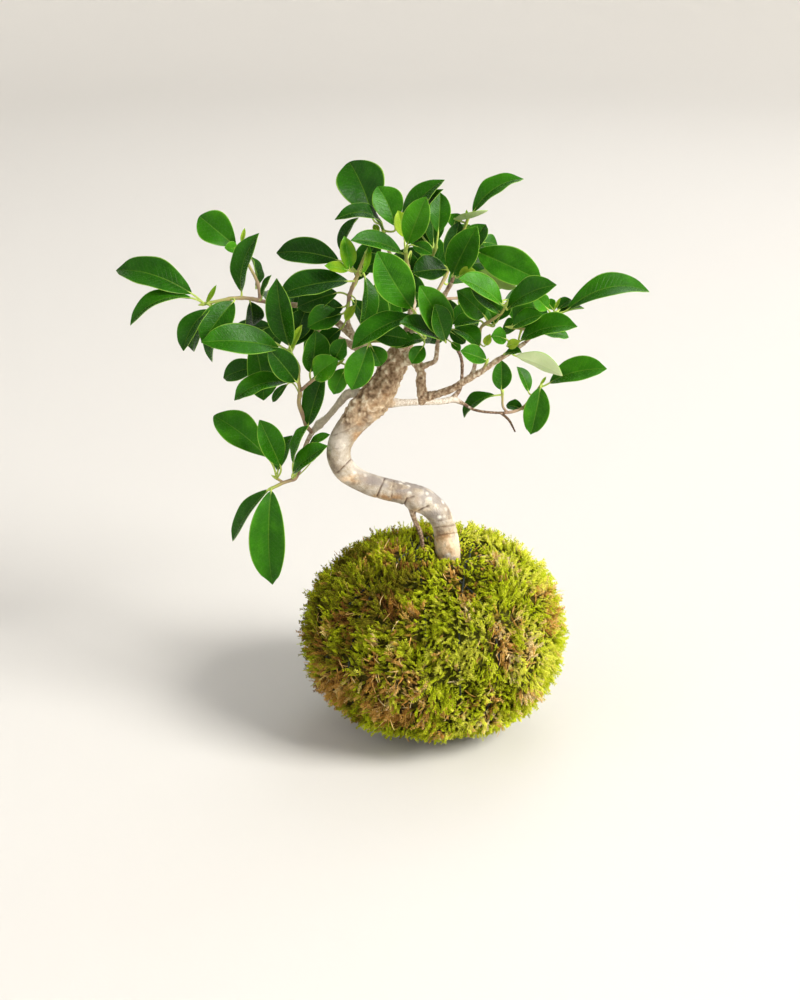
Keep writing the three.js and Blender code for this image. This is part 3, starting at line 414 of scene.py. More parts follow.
            (27.5, 220.8, -39, 13, 226, -45, 11, 30, 0.05, 0.42),
        ],
    },
    "shoot_back_right": {
        "limb": ("back", -1),
        "stems": [
            [(43, 191, 37, 0.9), (48, 193.2, 39, 0.8), (52.5, 199, 42, 0.8), (57, 205, 44, 0.7)],
            [(40, 190.3, 36, 0.8), (37.2, 193.5, 37, 0.7), (36.7, 199, 37, 0.7), (36.6, 202.5, 36, 0.7)],
        ],
        "leaves": [
            (32.5, 200.4, 36, 15, 187.4, 38, 13, 58, 0.17, 0.35),
            (36, 203.8, 35, 35.6, 221, 32, 11.5, 8, 0.08, 0.38),
            (51, 202.5, 42, 44, 216.8, 46, 9, 38, 0.08, 0.4),
            (48, 192.2, 40, 38.8, 194.8, 44, 8, 35, 0.08, 0.2),
            (57.6, 205, 41, 52.8, 177.4, 38, 15, 5, 0.06, 0.43, -0.5),
            (62.5, 207.6, 43, 94, 216, 36, 17, 38, 0.12, 0.46),
            (57, 206, 46, 60.6, 211.4, 49, 1.8, 0, 0.02, 0.85),
        ],
    },
    "shoot_rear_left": {
        "limb": ("rear_left", -1),
        "stems": [
            [(-72, 240.5, 46, 1), (-80, 244, 52, 0.9), (-88, 248, 56, 0.7)],
        ],
        "leaves": [
            (-89, 240, 57, -113, 233, 70, 12, 35, 0.1, 0.15),
            (-88, 249, 57, -93, 260, 82, 13, 30, 0.12, 0.2),
            (-80, 246, 52, -78, 264, 68, 15, 35, 0.1, 0.25),
            (-82, 240, 54, -96, 222, 60, 16, 25, 0.12, 0.2),
            (-72, 237, 47, -65, 216, 58, 14, 20, 0.12, 0.3),
            (-74, 240, 50, -56, 231, 74, 16, 40, 0.12, 0.2),
            (-74, 243, 48, -60, 260, 60, 16, 30, 0.12, 0.25),
        ],
    },
    "shoot_rear": {
        "limb": ("rear", -1),
        "stems": [
            [(-2, 255, 50, 1.1), (2, 263, 55, 1), (6, 271, 58, 0.8), (8, 279, 60, 0.7)],
            [(-2, 255, 50, 1), (10, 256, 56, 0.8), (22, 256, 60, 0.7), (34, 254, 62, 0.7)],
        ],
        "leaves": [
            (9, 279, 61, 17, 297, 74, 15, 25, 0.1, 0.3),
            (10, 276, 60, 31, 285, 76, 15, 38, 0.14, 0.2),
            (2, 270, 58, -26, 278, 76, 17, 40, 0.12, 0.25),
            (0, 258, 54, 4, 241, 84, 16, 30, 0.12, 0.2),
            (-5, 253, 52, -34, 246, 68, 17, 40, 0.12, 0.2),
            (6, 264, 60, 22, 268, 88, 17, 35, 0.12, 0.3),
            (12, 253, 58, 14, 234, 74, 16, 25, 0.12, 0.2),
            (24, 259, 60, 44, 268, 76, 17, 35, 0.12, 0.35),
            (36, 252, 62, 52, 238, 76, 16, 30, 0.12, 0.25),
            (37, 255, 62, 58, 252, 82, 16, 40, 0.12, 0.2),
            (0, 250, 50, -4, 230, 62, 15, 25, 0.12, 0.2),
            (4, 268, 57, -12, 292, 72, 17, 30, 0.1, 0.25),
            (-5, 256, 51, -24, 264, 66, 17, 25, 0.1, 0.25),
        ],
    },
}

# Thread loops: the heading and tilt in degrees of the plane's normal, and its distance from the middle.
LOOPS = [(8, -4, -16), (44, -6, -18), (78, -5, 14), (112, 4, -9), (146, 3, 12), (172, -3, -22)]

# Soft lumps in the moss surface: their height, then the direction's weights and the phase of a sine, and
# the same of the cosine that it is multiplied by.
MOSS_LUMPS = [
    (1.2, (5.3, 0, 2.1), 0.6, (0, 4.7, -1.9), 1.1),
    (0.8, (3.7, 9.1, 0), 2.3, (0, 2.9, 8.3), 0),
]
STREAKED = (1, 1, 0.4)  # draws noise out along z, so that its spots are streaks down the ball

# Where moss has died back, as seen: x, z, radius across, radius up, strength.
DEAD_PATCHES = [
    (-24, 106, 6, 3, 0.9), (-50, 103, 8, 7, 0.9), (-21, 95, 5, 3, 0.8), (-46, 57, 3, 13, 0.9),
    (-33, 40, 3, 10, 1), (-35, 27, 3, 5, 1), (-20, 68, 2.5, 12, 0.8), (-29, 72, 2.5, 8, 0.7),
    (-20, 37, 3, 13, 0.8), (-24, 23, 6, 3, 1), (-50, 20, 8, 15, 0.8), (-30, 10, 7, 10, 0.8),
    (-17, 5, 7, 5, 1), (-14, 18, 3, 7, 0.8), (36, 56, 5, 9, 1), (41, 42, 4, 10, 1), (46, 64, 2.5, 8, 0.8),
    (53, 42, 3.5, 12, 1), (19, 73, 2.5, 7, 0.9), (11, 91, 5, 5, 1), (34, 99, 3.5, 3, 1),
    (41, 102, 3, 2.5, 0.8), (64, 63, 4, 9, 1), (60, 80, 10, 5, 0.7), (54, 20, 5, 4, 1),
    (33, 14, 4, 8, 0.8), (20, 8, 3, 4, 1), (9, 7, 3, 5, 1), (-5, 0, 3, 4, 1), (30, 2, 4, 3, 0.9),
    (5, -8, 3, 3, 0.9), (5, 42, 5, 5, 0.6), (-63, 50, 4, 14, 0.7), (-60, 25, 5, 12, 0.8),
]
# Creases in the bark, as seen: x and z of both ends, half width and depth.
CREASES = [
    (-55, 155, -46, 164, 0.45, 1.0), (-33.5, 139, -28.5, 152, 0.45, 1.0), (-25, 140, -23.5, 150, 0.4, 0.7),
    (-18, 134.5, -16, 139.5, 0.6, 1.0), (-16, 139.5, -12.5, 140.5, 0.6, 0.8),
    (-9, 132.5, -4, 134.5, 0.7, 0.9), (0.5, 125, 9, 127.5, 0.4, 0.5), (-0.5, 121, 10.5, 123, 0.4, 0.7),
    (1.5, 116.5, 12, 118.5, 0.4, 0.6), (-60, 168, -49, 170.5, 0.35, 0.4), (-57, 177, -47, 181, 0.4, 0.5),
    (-44, 147.5, -42.5, 153, 0.3, 0.3),
]
# Swellings of the trunk on its near side, as seen: x, z, radius and how far each stands out.
KNOBS = [(-11.5, 136.5, 4.0, 2.6), (-46, 196, 5.0, 1.2), (-27, 205, 4.0, 1.2), (4, 108, 6.0, 0.8)]
# Where the bark is tan and orange, as seen: x, z, radius across, radius up. At the base and high on the
# trunk it has flaked; the thin patches along the underside of the level run and inside the bend are painted
# warm shade.
TAN_PATCHES = [
    (6, 111, 8, 8), (6, 107, 7, 5), (-11, 132, 5, 2), (-30, 139.5, 12, 2), (-48, 151, 6, 2),
    (-43.5, 178, 2.5, 12), (-35, 191, 7, 6), (-26, 198, 6, 6), (-8, 196, 3.5, 3),
]
# Where the bark has weathered to a lilac grey, as seen: x, z, radius across, radius up.
GREY_PATCHES = [(-17, 146, 9, 3), (-3, 137, 6, 7), (1, 128, 4, 3), (-33, 150, 10, 2.5), (-40, 193, 5, 4)]
# How pale and how rough each limb's bark is.
LIMB_BARK = {
    "trunk": (0.0, 0.0), "air_root": (0.5, 0.2), "hanging": (1.6, 0.45), "far_left": (0.3, 0.8),
    "back": (1.1, 0.1), "back_riser": (0.8, 0.15), "back_snag": (0.6, 0.2), "front": (0.45, 1.0),
    "front_stub": (0.6, 1.0), "loop": (0.3, 1.0), "right_twig": (0.3, 1.0), "left_snag": (0.05, 0.9),
}
OTHER_BARK = (0.35, 0.8)  # of the limbs that aren't named there


# ---------------------------------------------------------------- numbers
# Large odd numbers that scatter a lattice corner's place and a seed into a hash, and mix the hash again.
HASH_X, HASH_Y, HASH_Z, HASH_SEED, HASH_AGAIN = 73856093, 19349663, 83492791, 2654435761, 1274126177
HASH_TOP = 0xFFFF
LATTICE_START = 512.0  # keeps every place on the lattice above 0


def linear(colour):
    """An sRGB hex colour made linear: c / 12.92 near black, and else ((c + 0.055) / 1.055) ^ 2.4."""
    c = np.array([int(colour[i : i + 2], 16) for i in (1, 3, 5)]) / 255
    return tuple(np.where(c <= 0.04045, c / 12.92, ((c + 0.055) / 1.055) ** 2.4))


def unit(vectors):
    """Each vector over its own length."""
    return vectors / np.linalg.norm(vectors, axis=-1, keepdims=True)


def seen(rows):
    """The points of (x, z, back, ...) rows: EYE + ((x, 0, z) - EYE) (1 + back / the viewer's distance)."""
    rows = np.asarray([row[:3] for row in rows], float)
    on_plane = np.stack([rows[:, 0], np.zeros(len(rows)), rows[:, 1]], axis=1)
    return EYE + (on_plane - EYE) * (1 - rows[:, 2:] / EYE[1])


def sight(points):
    """The x and z at which the sight lines of points meet the upright plane: the reverse of seen()."""
    share = EYE[1] / (EYE[1] - points[:, 1])
    on_plane = EYE + (points - EYE) * share[:, None]
    return on_plane[:, 0], on_plane[:, 2]


def soft_step(values, low, high):
    """0 below low, 1 above high, and 3w^2 - 2w^3 between them."""
    w = np.clip((values - low) / (high - low), 0, 1)
    return w * w * (3 - 2 * w)


def lattice_noise(points, cell, seed):
    """Smooth values from 0 to 1. Each corner of a lattice of `cell` mm holds a number hashed from its place,
    and a point mixes its cell's eight corners with 3w^2 - 2w^3 weights."""
    place = points / cell + LATTICE_START
    corner = np.floor(place).astype(np.int64)
    weight = soft_step(place - corner, 0, 1)
    total = np.zeros(len(points))
    for step in np.ndindex(2, 2, 2):
        i, j, k = (corner + step).T
        mixed = (i * HASH_X) ^ (j * HASH_Y) ^ (k * HASH_Z) ^ (seed * HASH_SEED)
        mixed = ((mixed ^ (mixed >> 13)) * HASH_AGAIN) & 0xFFFFFFFF
        value = ((mixed ^ (mixed >> 16)) & HASH_TOP) / HASH_TOP
        total += value * np.prod(np.where(step, weight, 1 - weight), axis=1)
    return total


def spots(x, z, patches):
    """Bell-shaped spots at patches (x, z, radius across, radius up and, where there is one, strength): the
    sum of each one's strength · exp(-(x away / across)^2 - (z away / up)^2)."""
    total = np.zeros(len(x))
    for px, pz, across, up, *strength in patches:
        total += math.prod(strength) * np.exp(-(((x - px) / across) ** 2) - ((z - pz) / up) ** 2)
    return total


# ---------------------------------------------------------------- paths and skins
def smooth_path(rows, steps):
    """A smooth curve through (x, z, back, radius) rows, `steps` samples a stretch. Each stretch is a cubic
    from one row to the next. Its slope at either end is that of the parabola through the three rows round
    it, spaced by the square roots of the distances. Gives the points and their radii, which run evenly
    from row to row."""
    knots = seen(rows)
    radii = np.array([row[3] for row in rows])
    ends = np.vstack([2 * knots[0] - knots[1], knots, 2 * knots[-1] - knots[-2]])
    place = np.linspace(0, len(knots) - 1, (len(knots) - 1) * steps + 1)
    i = np.minimum(place.astype(int), len(knots) - 2)
    w = (place - i)[:, None]
    p0, p1, p2, p3 = (ends[i + k] for k in range(4))
    d0, d1, d2 = (np.linalg.norm(b - a, axis=1)[:, None] ** 0.5 for a, b in ((p0, p1), (p1, p2), (p2, p3)))
    slope1 = ((p1 - p0) / d0 - (p2 - p0) / (d0 + d1) + (p2 - p1) / d1) * d1
    slope2 = ((p2 - p1) / d1 - (p3 - p1) / (d1 + d2) + (p3 - p2) / d2) * d1
    curve = (
        (2 * w**3 - 3 * w**2 + 1) * p1
        + (w**3 - 2 * w**2 + w) * slope1
        + (3 * w**2 - 2 * w**3) * p2
        + (w**3 - w**2) * slope2
    )
    return curve, np.interp(place, np.arange(len(radii)), radii)


ACROSS_START = (0.02, 1.0, 0.03)  # about +Y, and along no limb


def carried_axes(path):
    """Two directions across a path at each of its points. The first starts towards +Y and is carried on
    with the least turning: at each point its share along the path is taken away."""
    tangent = unit(np.gradient(path, axis=0))
    across = np.empty_like(path)
    carried = np.array(ACROSS_START)
    for i, ahead in enumerate(tangent):
        carried = unit(carried - (carried @ ahead) * ahead)
        across[i] = carried
    return across, np.cross(tangent, across)


def tube(path, radius, sides):
    """Rings round a path: centre + radius (cos a · across + sin a · other), with a stepping round evenly.
    The radius is one number a ring, or one for each ring and side."""
    across, other = carried_axes(path)
    angle = 2 * np.pi * np.arange(sides)[None, :, None] / sides
    outward = np.cos(angle) * across[:, None] + np.sin(angle) * other[:, None]
    radius = np.broadcast_to(np.reshape(radius, (len(path), -1)), (len(path), sides))
    return path[:, None] + outward * radius[..., None]


def closed_skin(rings, **attributes):
    """One closed body over rings of points: quads between neighbours, and a fan on the middle of the first
    and last ring. Attributes are arrays that fit rings by points. Gives points, quads, triangles, values."""
    rows, columns = rings.shape[:2]
    here = np.arange(columns)
    there = (here + 1) % columns
    start = np.arange(rows - 1)[:, None] * columns
    quads = np.stack([start + here, start + there, start + columns + there, start + columns + here], axis=-1)
    first, last, edge = rows * columns, rows * columns + 1, (rows - 1) * columns
    lower = np.stack([np.full(columns, first), there, here], axis=1)
    upper = np.stack([np.full(columns, last), edge + here, edge + there], axis=1)
    points = np.concatenate([rings.reshape(-1, 3), [rings[0].mean(0), rings[-1].mean(0)]])
    values = {}
    for name, value in attributes.items():
        full = np.broadcast_to(value, (rows, columns))
        values[name] = np.concatenate([full.ravel(), [full[0].mean(), full[-1].mean()]])
    return points, quads.reshape(-1, 4), np.concatenate([lower, upper]), values


def joined(parts):
    """Several (points, quads, triangles, values) bodies as one."""
    starts = np.cumsum([0] + [len(part[0]) for part in parts[:-1]])
    points = np.concatenate([part[0] for part in parts])
    quads = np.concatenate([part[1] + start for part, start in zip(parts, starts)])
    triangles = np.concatenate([part[2] + start for part, start in zip(parts, starts)])
    values = {name: np.concatenate([part[3][name] for part in parts]) for name in parts[0][3]}
    return points, quads, triangles, values


def add_piece(name, body, material, slot, *nodes):
    """Makes a body a smooth-shaded mesh object in metres, which rides on the root, wears the material given
    and stands for the CAD nodes named. `slot` is not used."""
    points, quads, triangles, values = body
    corners = np.concatenate([quads.ravel(), triangles.ravel()]).astype(np.int32)
    sizes = np.concatenate([np.full(len(quads), 4), np.full(len(triangles), 3)])
    mesh = bpy.data.meshes.new(name)
    mesh.vertices.add(len(points))
    mesh.vertices.foreach_set("co", (points * MM).astype(np.float32).ravel())
    mesh.loops.add(len(corners))
    mesh.loops.foreach_set("vertex_index", corners)
    mesh.polygons.add(len(sizes))
    mesh.polygons.foreach_set("loop_start", (np.cumsum(sizes) - sizes).astype(np.int32))
    mesh.polygons.foreach_set("use_smooth", np.ones(len(sizes), bool))
    mesh.update(calc_edges=True)
    return dress(bpy.data.objects.new(name, mesh), values, material, slot, *nodes)


def dress(piece, values, material, slot, *nodes):
    for name, value in values.items():
        attribute = piece.data.attributes.new(name, "FLOAT", "POINT")
        attribute.data.foreach_set("value", np.asarray(value, np.float32))
    piece.data.materials.append(material)
    bpy.context.scene.collection.objects.link(piece)
    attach(piece, "root")
    if nodes:
        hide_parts(*nodes)
    return piece


# ---------------------------------------------------------------- the ball
def loop_planes():
    """Each thread plane's normal, from its heading and tilt, with its distance from the ball's middle."""
    heading, tilt = (np.radians([row[i] for row in LOOPS]) for i in (0, 1))
    normals = unit(np.stack([np.cos(heading), np.sin(heading), np.tan(tilt)], axis=1))
    return list(zip(normals, (row[2] for row in LOOPS)))


def ball_reach(direction, radius, rise, drop):
    """How far a flattened ball reaches in unit directions, its height being `rise` above the middle and
    `drop` below it: 1 / sqrt((x^2 + y^2) / radius^2 + z^2 / height^2)."""
    x, y, z = direction.T
    height = np.where(z > 0, rise, drop)
    return 1 / np.sqrt((x * x + y * y) / radius**2 + (z / height) ** 2)


def moss_reach(direction):
    """How far the moss reaches from the ball's middle: a flattened ball, plus two products of waves in the
    direction for soft lumps, less a bell-shaped groove along each thread plane."""
    reach = ball_reach(direction, BALL_RADIUS, BALL_RISE, BALL_DROP)
    for height, sine, sine_phase, cosine, cosine_phase in MOSS_LUMPS:
        reach += height * np.sin(direction @ sine + sine_phase) * np.cos(direction @ cosine + cosine_phase)
    for normal, offset in loop_planes():
        away = ((direction @ normal) * reach - offset) / THREAD_DENT_WIDTH
        reach = reach - THREAD_DENT * np.exp(-away * away)
    return reach


def foot_gap(points):
    """How far points are from the foot of the trunk, seen from above."""
    return np.hypot(points[:, 0] - FOOT[0], points[:, 1] - FOOT[1])


def foot_hollow(points):
    """How deep the hollow round the foot of the trunk is at points measured from the ball's middle: a bell
    curve over the distance from the foot, above the middle only."""
    return FOOT_HOLLOW * np.exp(-((foot_gap(points) / FOOT_HOLLOW_WIDTH) ** 2)) * (points[:, 2] > 0)


def moss_points(direction, sunk=0.0):
    """The moss surface in given directions, `sunk` mm below it, drawn down in the hollow round the foot of
    the trunk, and pressed flat where the ball rests."""
    reach = moss_reach(direction)
    hollow = foot_hollow(direction * reach[:, None])
    points = direction * (reach - hollow - sunk)[:, None]
    points[:, 2] = np.maximum(points[:, 2] + BALL_MIDDLE, FLOOR_CLEARANCE)
    return points


def sphere_grid(rows, columns):
    """Rings of unit directions from just above the lowest point to just below the highest."""
    rise = np.pi * (np.arange(rows) + 0.5)[:, None] / rows - np.pi / 2
    turn = 2 * np.pi * np.arange(columns)[None, :] / columns
    x, y = np.cos(rise) * np.cos(turn), np.cos(rise) * np.sin(turn)
    return np.stack([x, y, np.broadcast_to(np.sin(rise), x.shape)], axis=-1)


def soil_body():
    """The ball of soil: a flattened ball whose reach shrinks by lumpy noise."""
    direction = sphere_grid(rows=48, columns=96)
    flat = direction.reshape(-1, 3)
    reach = ball_reach(flat, SOIL_RADIUS, SOIL_RISE, SOIL_DROP)
    reach -= SOIL_LUMP_DEPTH * lattice_noise(flat * reach[:, None], SOIL_LUMP, seed=1)
    points = flat * reach[:, None] + BALL_CENTRE
    return closed_skin(points.reshape(direction.shape))


def moss_felt():
    """The matted moss under the sprigs: the moss surface, sunk a little and roughened with noise."""
    direction = sphere_grid(rows=130, columns=260)
    flat = direction.reshape(-1, 3)
    least, most = FELT_DEPTH
    rough = lattice_noise(flat * BALL_RADIUS, FELT_GRAIN, seed=2)
    points = moss_points(flat, least + (most - least) * rough)
    dead = dead_share(points).reshape(direction.shape[:2])
    # At tip 0 the felt takes the darkest root colour, partly painted shade under the sprigs.
    return closed_skin(points.reshape(direction.shape), tip=0.0, tone=0.35, dead=dead)


def dead_share(points):
    """How dead the moss is: bell-shaped spots at the patches as they are seen on the near side, and
    scattered spots where streaked noise is high all round."""
    share = spots(*sight(points), DEAD_PATCHES) * (points[:, 1] < 0)
    scattered = soft_step(lattice_noise(points * STREAKED, cell=6, seed=3), 0.72, 0.88)
    return np.clip(share + 0.7 * scattered, 0, 1)


# ---------------------------------------------------------------- moss sprigs and blades
Sprigs = namedtuple("Sprigs", "root ahead aside up length bend")

# A stem's points are the three of its foot ring, the three of its middle ring, and its end.
STEM_FACES = np.array([
    (0, 1, 4), (0, 4, 3), (1, 2, 5), (1, 5, 4), (2, 0, 3), (2, 3, 5), (3, 4, 6), (4, 5, 6), (5, 3, 6),
    (0, 2, 1),
])
# A leaflet's points are its foot, its left and right corners, its point and its keel.
LEAFLET_FACES = np.array([(0, 1, 3), (0, 3, 2), (0, 4, 1), (1, 4, 3), (0, 2, 4), (2, 3, 4)])


def spread_directions(count, seed, rng):
    """Unit directions that wind down the ball by the golden angle, evenly spread, and each jittered."""
    index = np.arange(count) + 0.5
    z = 1 - 2 * index / count + rng.normal(0, 0.6 / math.sqrt(count), count)
    z = np.clip(z, -0.999, 0.999)
    turn = index * math.pi * (1 + math.sqrt(5)) + rng.normal(0, 1.5 / math.sqrt(count), count) + seed
    around = np.sqrt(1 - z * z)
    return np.stack([around * np.cos(turn), around * np.sin(turn), z], axis=1)


def sprig_roots(count, seed, rng):
    """Where sprigs are rooted, and how streaked the moss is there. Roots lie near the moss surface: higher
    in tufts, streaks and grooves, and deeper under the ball. Some are left out at the thread, and all at
    the trunk and where the ball rests."""
    direction = spread_directions(count, seed, rng)
    tuft = lattice_noise(direction * BALL_RADIUS, cell=9, seed=5)
    streak = lattice_noise(direction * BALL_RADIUS * STREAKED, cell=4, seed=6)
    surface = moss_points(direction)
    from_planes = [np.abs((surface - BALL_CENTRE) @ normal - offset) for normal, offset in loop_planes()]
    from_thread = np.min(from_planes, axis=0)
    in_groove = 1.4 * np.exp(-((from_thread / 4) ** 2))
    squashed = 2.2 * soft_step(-surface[:, 2], -22, -4)
    sunk = np.minimum(1.2 - 3.0 * (tuft - 0.5) - 3.0 * (streak - 0.5), 2.2)
    root = moss_points(direction, sunk - in_groove + squashed)
    keep = root[:, 2] > REST_CLEAR
    keep &= (from_thread > THREAD_CLEAR) | (rng.random(count) < THREAD_KEPT)
    keep &= (foot_gap(root) > TRUNK_CLEAR) | (root[:, 2] < BALL_MIDDLE)
    return root[keep], streak[keep]


def grow_sprigs(root, rng):
    """Each sprig's direction, the two across it, its length and its bend. Slow noise swings the way that
    sprigs lean, by a quarter turn at most to either side of level. They are turned up near the floor, and
    shorter there and round the trunk."""
    count = len(root)
    outward = unit((root - BALL_CENTRE) / (BALL_RADIUS**2, BALL_RADIUS**2, BALL_RISE**2))
    level = unit(np.cross(outward, (0.03, 0.02, 1.0)))
    upward = np.cross(level, outward)
    swing = np.clip(2.2 * (lattice_noise(root, cell=13, seed=7) - 0.5), -0.5, 0.5)
    heading = (np.pi * swing + rng.normal(0, SPRIG_WANDER, count))[:, None]
    flow = np.cos(heading) * level + np.sin(heading) * upward
    lean = np.radians(np.clip(rng.normal(*SPRIG_LEAN, count), 5, 88))[:, None]
    ahead = np.cos(lean) * outward + np.sin(lean) * flow
    ahead[:, 2] += np.where(root[:, 2] < 9, np.maximum(0, -ahead[:, 2]) * 1.1, 0)
    ahead = unit(ahead)
    aside = unit(np.cross(ahead, outward) + 0.45 * rng.normal(0, 1, (count, 3)))
    aside = unit(aside - np.sum(aside * ahead, axis=1)[:, None] * ahead)
    up = np.cross(aside, ahead)
    up *= np.sign(np.sum(up * outward, axis=1))[:, None]
    low = 0.42 + 0.58 * soft_step(root[:, 2], 4, 34)
    at_foot = np.where(root[:, 2] > BALL_MIDDLE, 0.4 + 0.6 * soft_step(foot_gap(root), 11, 50), 1)
    length = rng.uniform(*SPRIG_LENGTH, count) * low * at_foot
    return Sprigs(root, ahead, aside, up, length, rng.normal(*SPRIG_BEND, count))


def on_stem(sprigs, shares):
    """The points at shares s of each stem's length: root + length (s · ahead + bend s^2 · up). Gives an
    array of sprigs by shares."""
    s = np.asarray(shares)[None, :, None]
    straight = sprigs.length[:, None, None] * s * sprigs.ahead[:, None]
    bent = (sprigs.length * sprigs.bend)[:, None, None] * s * s * sprigs.up[:, None]
    return sprigs.root[:, None] + straight + bent


def sprig_stems(sprigs):
    """Each sprig's stem, sprigs by 7 points: two rings of three round its curve, and a pointed end."""
    angle = 2 * np.pi * np.arange(3)[:, None] / 3
    ring = np.cos(angle) * sprigs.aside[:, None] + np.sin(angle) * sprigs.up[:, None]
    foot, middle, end = (on_stem(sprigs, [share]) for share in (0, 0.55, 1.0))
    return np.concatenate([foot + STEM_RADII[0] * ring, middle + STEM_RADII[1] * ring, end], axis=1)


def sprig_leaflets(sprigs, rng):
    """A leaflet to each side of each stem at each station, sprigs by leaflets by 5 points: a sliver that
    grows ahead and outwards from its foot and is shorter towards the stem's end. Its corners and its keel
    stand off it at two fifths of its reach."""
    stations = np.repeat(LEAFLET_STATIONS, 2)
    side = np.tile([1.0, -1.0], len(LEAFLET_STATIONS))[:, None]
    shape = (len(sprigs.root), len(stations), 1)
    ahead, aside, up = (axis[:, None] for axis in (sprigs.ahead, sprigs.aside, sprigs.up))
    angle = np.radians(rng.uniform(*LEAFLET_ANGLE, shape))
    lift = rng.normal(0.1, 0.22, shape)
    out = unit(np.cos(angle) * ahead + np.sin(angle) * side * aside + lift * up)
    usual = (0.32 - 0.18 * stations)[:, None] * sprigs.length[:, None, None]
    reach = usual * rng.uniform(0.75, 1.25, shape)
    half_width = rng.uniform(*LEAFLET_HALF_WIDTH, shape)
    crosswise = unit(np.cross(out, up))
    foot = on_stem(sprigs, stations)
    middle = foot + out * reach * 0.4
    left, right = middle + half_width * crosswise, middle - half_width * crosswise
    return np.stack([foot, left, right, foot + out * reach, middle - LEAFLET_KEEL * up], axis=2)


def sprig_colours(root, streak, rng):
    """Each sprig's tone and how dead it is. The tone is noise and streaks. It is raised to the right and a
    little towards the top, partly for sun-bleached moss and partly as painted light from the right and
    above. It is raised at the middle of the near side as painted light, and lowered at the top left as
    painted shadow of the leaves above. The dead share follows the patches, with a few dead sprigs anywhere."""
    x, z, count = root[:, 0], root[:, 2], len(root)
    tone = 0.5 + 0.7 * (lattice_noise(root, cell=15, seed=11) - 0.5) + 0.7 * (streak - 0.5)
    # Painted light from the right and above, partly sun-bleached moss.
    sun_bleached_and_lit = 0.28 * x / BALL_RADIUS + 0.04 * (z - BALL_MIDDLE) / BALL_RISE
    # Painted shadow of the leaves above, on the top left of the ball.
    shaded = 0.3 * soft_step(z - BALL_MIDDLE, 8, 40) * soft_step(-x, -18, 18)
    # Painted light on the middle of the near side.
    painted_light_near_middle = 0.14 * np.exp(-((x / 32) ** 2) - ((z - 60) / 32) ** 2) * (root[:, 1] < 0)
    tone = np.clip(tone + sun_bleached_and_lit - shaded + painted_light_near_middle + rng.normal(0, 0.15, count), 0, 1)
    dead = 0.95 * soft_step(dead_share(root) + rng.normal(0, 0.15, count), 0.3, 0.6)
    return tone, np.where(rng.random(count) < DEAD_SPRIGS, 0.9, dead)


def moss_sprigs(count, seed):
    """Feathery sprigs, each a thin three-sided stem with pairs of leaflets, as one body of triangles."""
    rng = np.random.default_rng(seed)
    root, streak = sprig_roots(count, seed, rng)
    sprigs = grow_sprigs(root, rng)
    stem, leaflet = sprig_stems(sprigs), sprig_leaflets(sprigs, rng)
    tone, dead = sprig_colours(root, streak, rng)
    points = np.concatenate([stem.reshape(-1, 3), leaflet.reshape(-1, 3)])
    points[:, 2] = np.maximum(points[:, 2], FLOOR_CLEARANCE)

    # A stem's corners run the other way round where its axes are a left hand.
    is_right = np.sum(np.cross(sprigs.aside, sprigs.up) * sprigs.ahead, axis=1) > 0
    stem_faces = np.where(is_right[:, None, None], STEM_FACES, STEM_FACES[:, ::-1])
    stem_count, leaflet_count = len(stem), leaflet.shape[0] * leaflet.shape[1]
    stem_start = stem.shape[1] * np.arange(stem_count)[:, None, None]
    leaflet_start = stem.shape[1] * stem_count + leaflet.shape[2] * np.arange(leaflet_count)[:, None, None]
    faces = (stem_start + stem_faces, leaflet_start + LEAFLET_FACES)
    triangles = np.concatenate([each.reshape(-1, 3) for each in faces])

    # `tip` is how far up the sprig a point is; tone and dead are the sprig's own.
    stem_tip = [0, 0, 0, 0.5, 0.5, 0.5, 1.0]
    station = np.repeat(LEAFLET_STATIONS, 2)[:, None]
    leaflet_tip = (station + (0, 0.12, 0.12, 0.3, 0)).ravel()
    values = {"tip": np.concatenate([np.tile(stem_tip, stem_count), np.tile(leaflet_tip, stem_count)])}
    for name, value in (("tone", tone), ("dead", dead)):
        values[name] = np.concatenate([np.repeat(value, len(stem_tip)), np.repeat(value, len(leaflet_tip))])
    return points, np.empty((0, 4), int), triangles, values


def dead_blade(root, rng):
    """One dead blade: a flat tapering tube on a parabola from root to tip, which stands a little off the
    moss at its middle and more at its tip."""
    s = np.linspace(0, 1, 7)[:, None]
    outward = unit(root - BALL_CENTRE)
    along = rng.normal(0, 1, 3) * (0.7, 0.7, 1.4)
    along = unit(along - 0.8 * (along @ outward) * outward)
    length = rng.uniform(*DEAD_BLADE_LENGTH)
    wander = rng.normal(0, 0.35, 3)
    off = outward * rng.uniform(0.2, 1.0) + wander
    path = root + along * length * s + off * 4 * s * (1 - s) + outward * (0.8 + 0.3 * length * s)
    path[:, 2] = np.maximum(path[:, 2], 1.0)
    radius = rng.uniform(*DEAD_BLADE_RADIUS) * np.sqrt(np.clip(1.02 - s, 0.02, 1))
    flat = tube(path, radius * (1, 0.45, 1, 0.45, 0.8, 0.45), sides=6)
    return closed_skin(flat, tip=0.5 + 0.5 * s, tone=rng.uniform(0.2, 1), dead=1.0)


def dead_blades():
    """Dead blades caught in the moss, crowded in the dead patches and here and there elsewhere."""
    rng = np.random.default_rng(41)
    places = []
    for px, pz, wide, high, strength in DEAD_PATCHES:
        count = int(BLADES_PER_MM2 * wide * high * strength)
        offsets = rng.normal(0, 0.6, (count, 2)) * (wide, high)
        places += [seen_on_ball(px + dx, max(pz + dz, 2)) for dx, dz in offsets]
    scattered = moss_points(unit(rng.normal(0, 1, (SCATTERED_BLADES, 3))))
    places += list(scattered[scattered[:, 2] > 6])
    return joined([dead_blade(root, rng) for root in places])


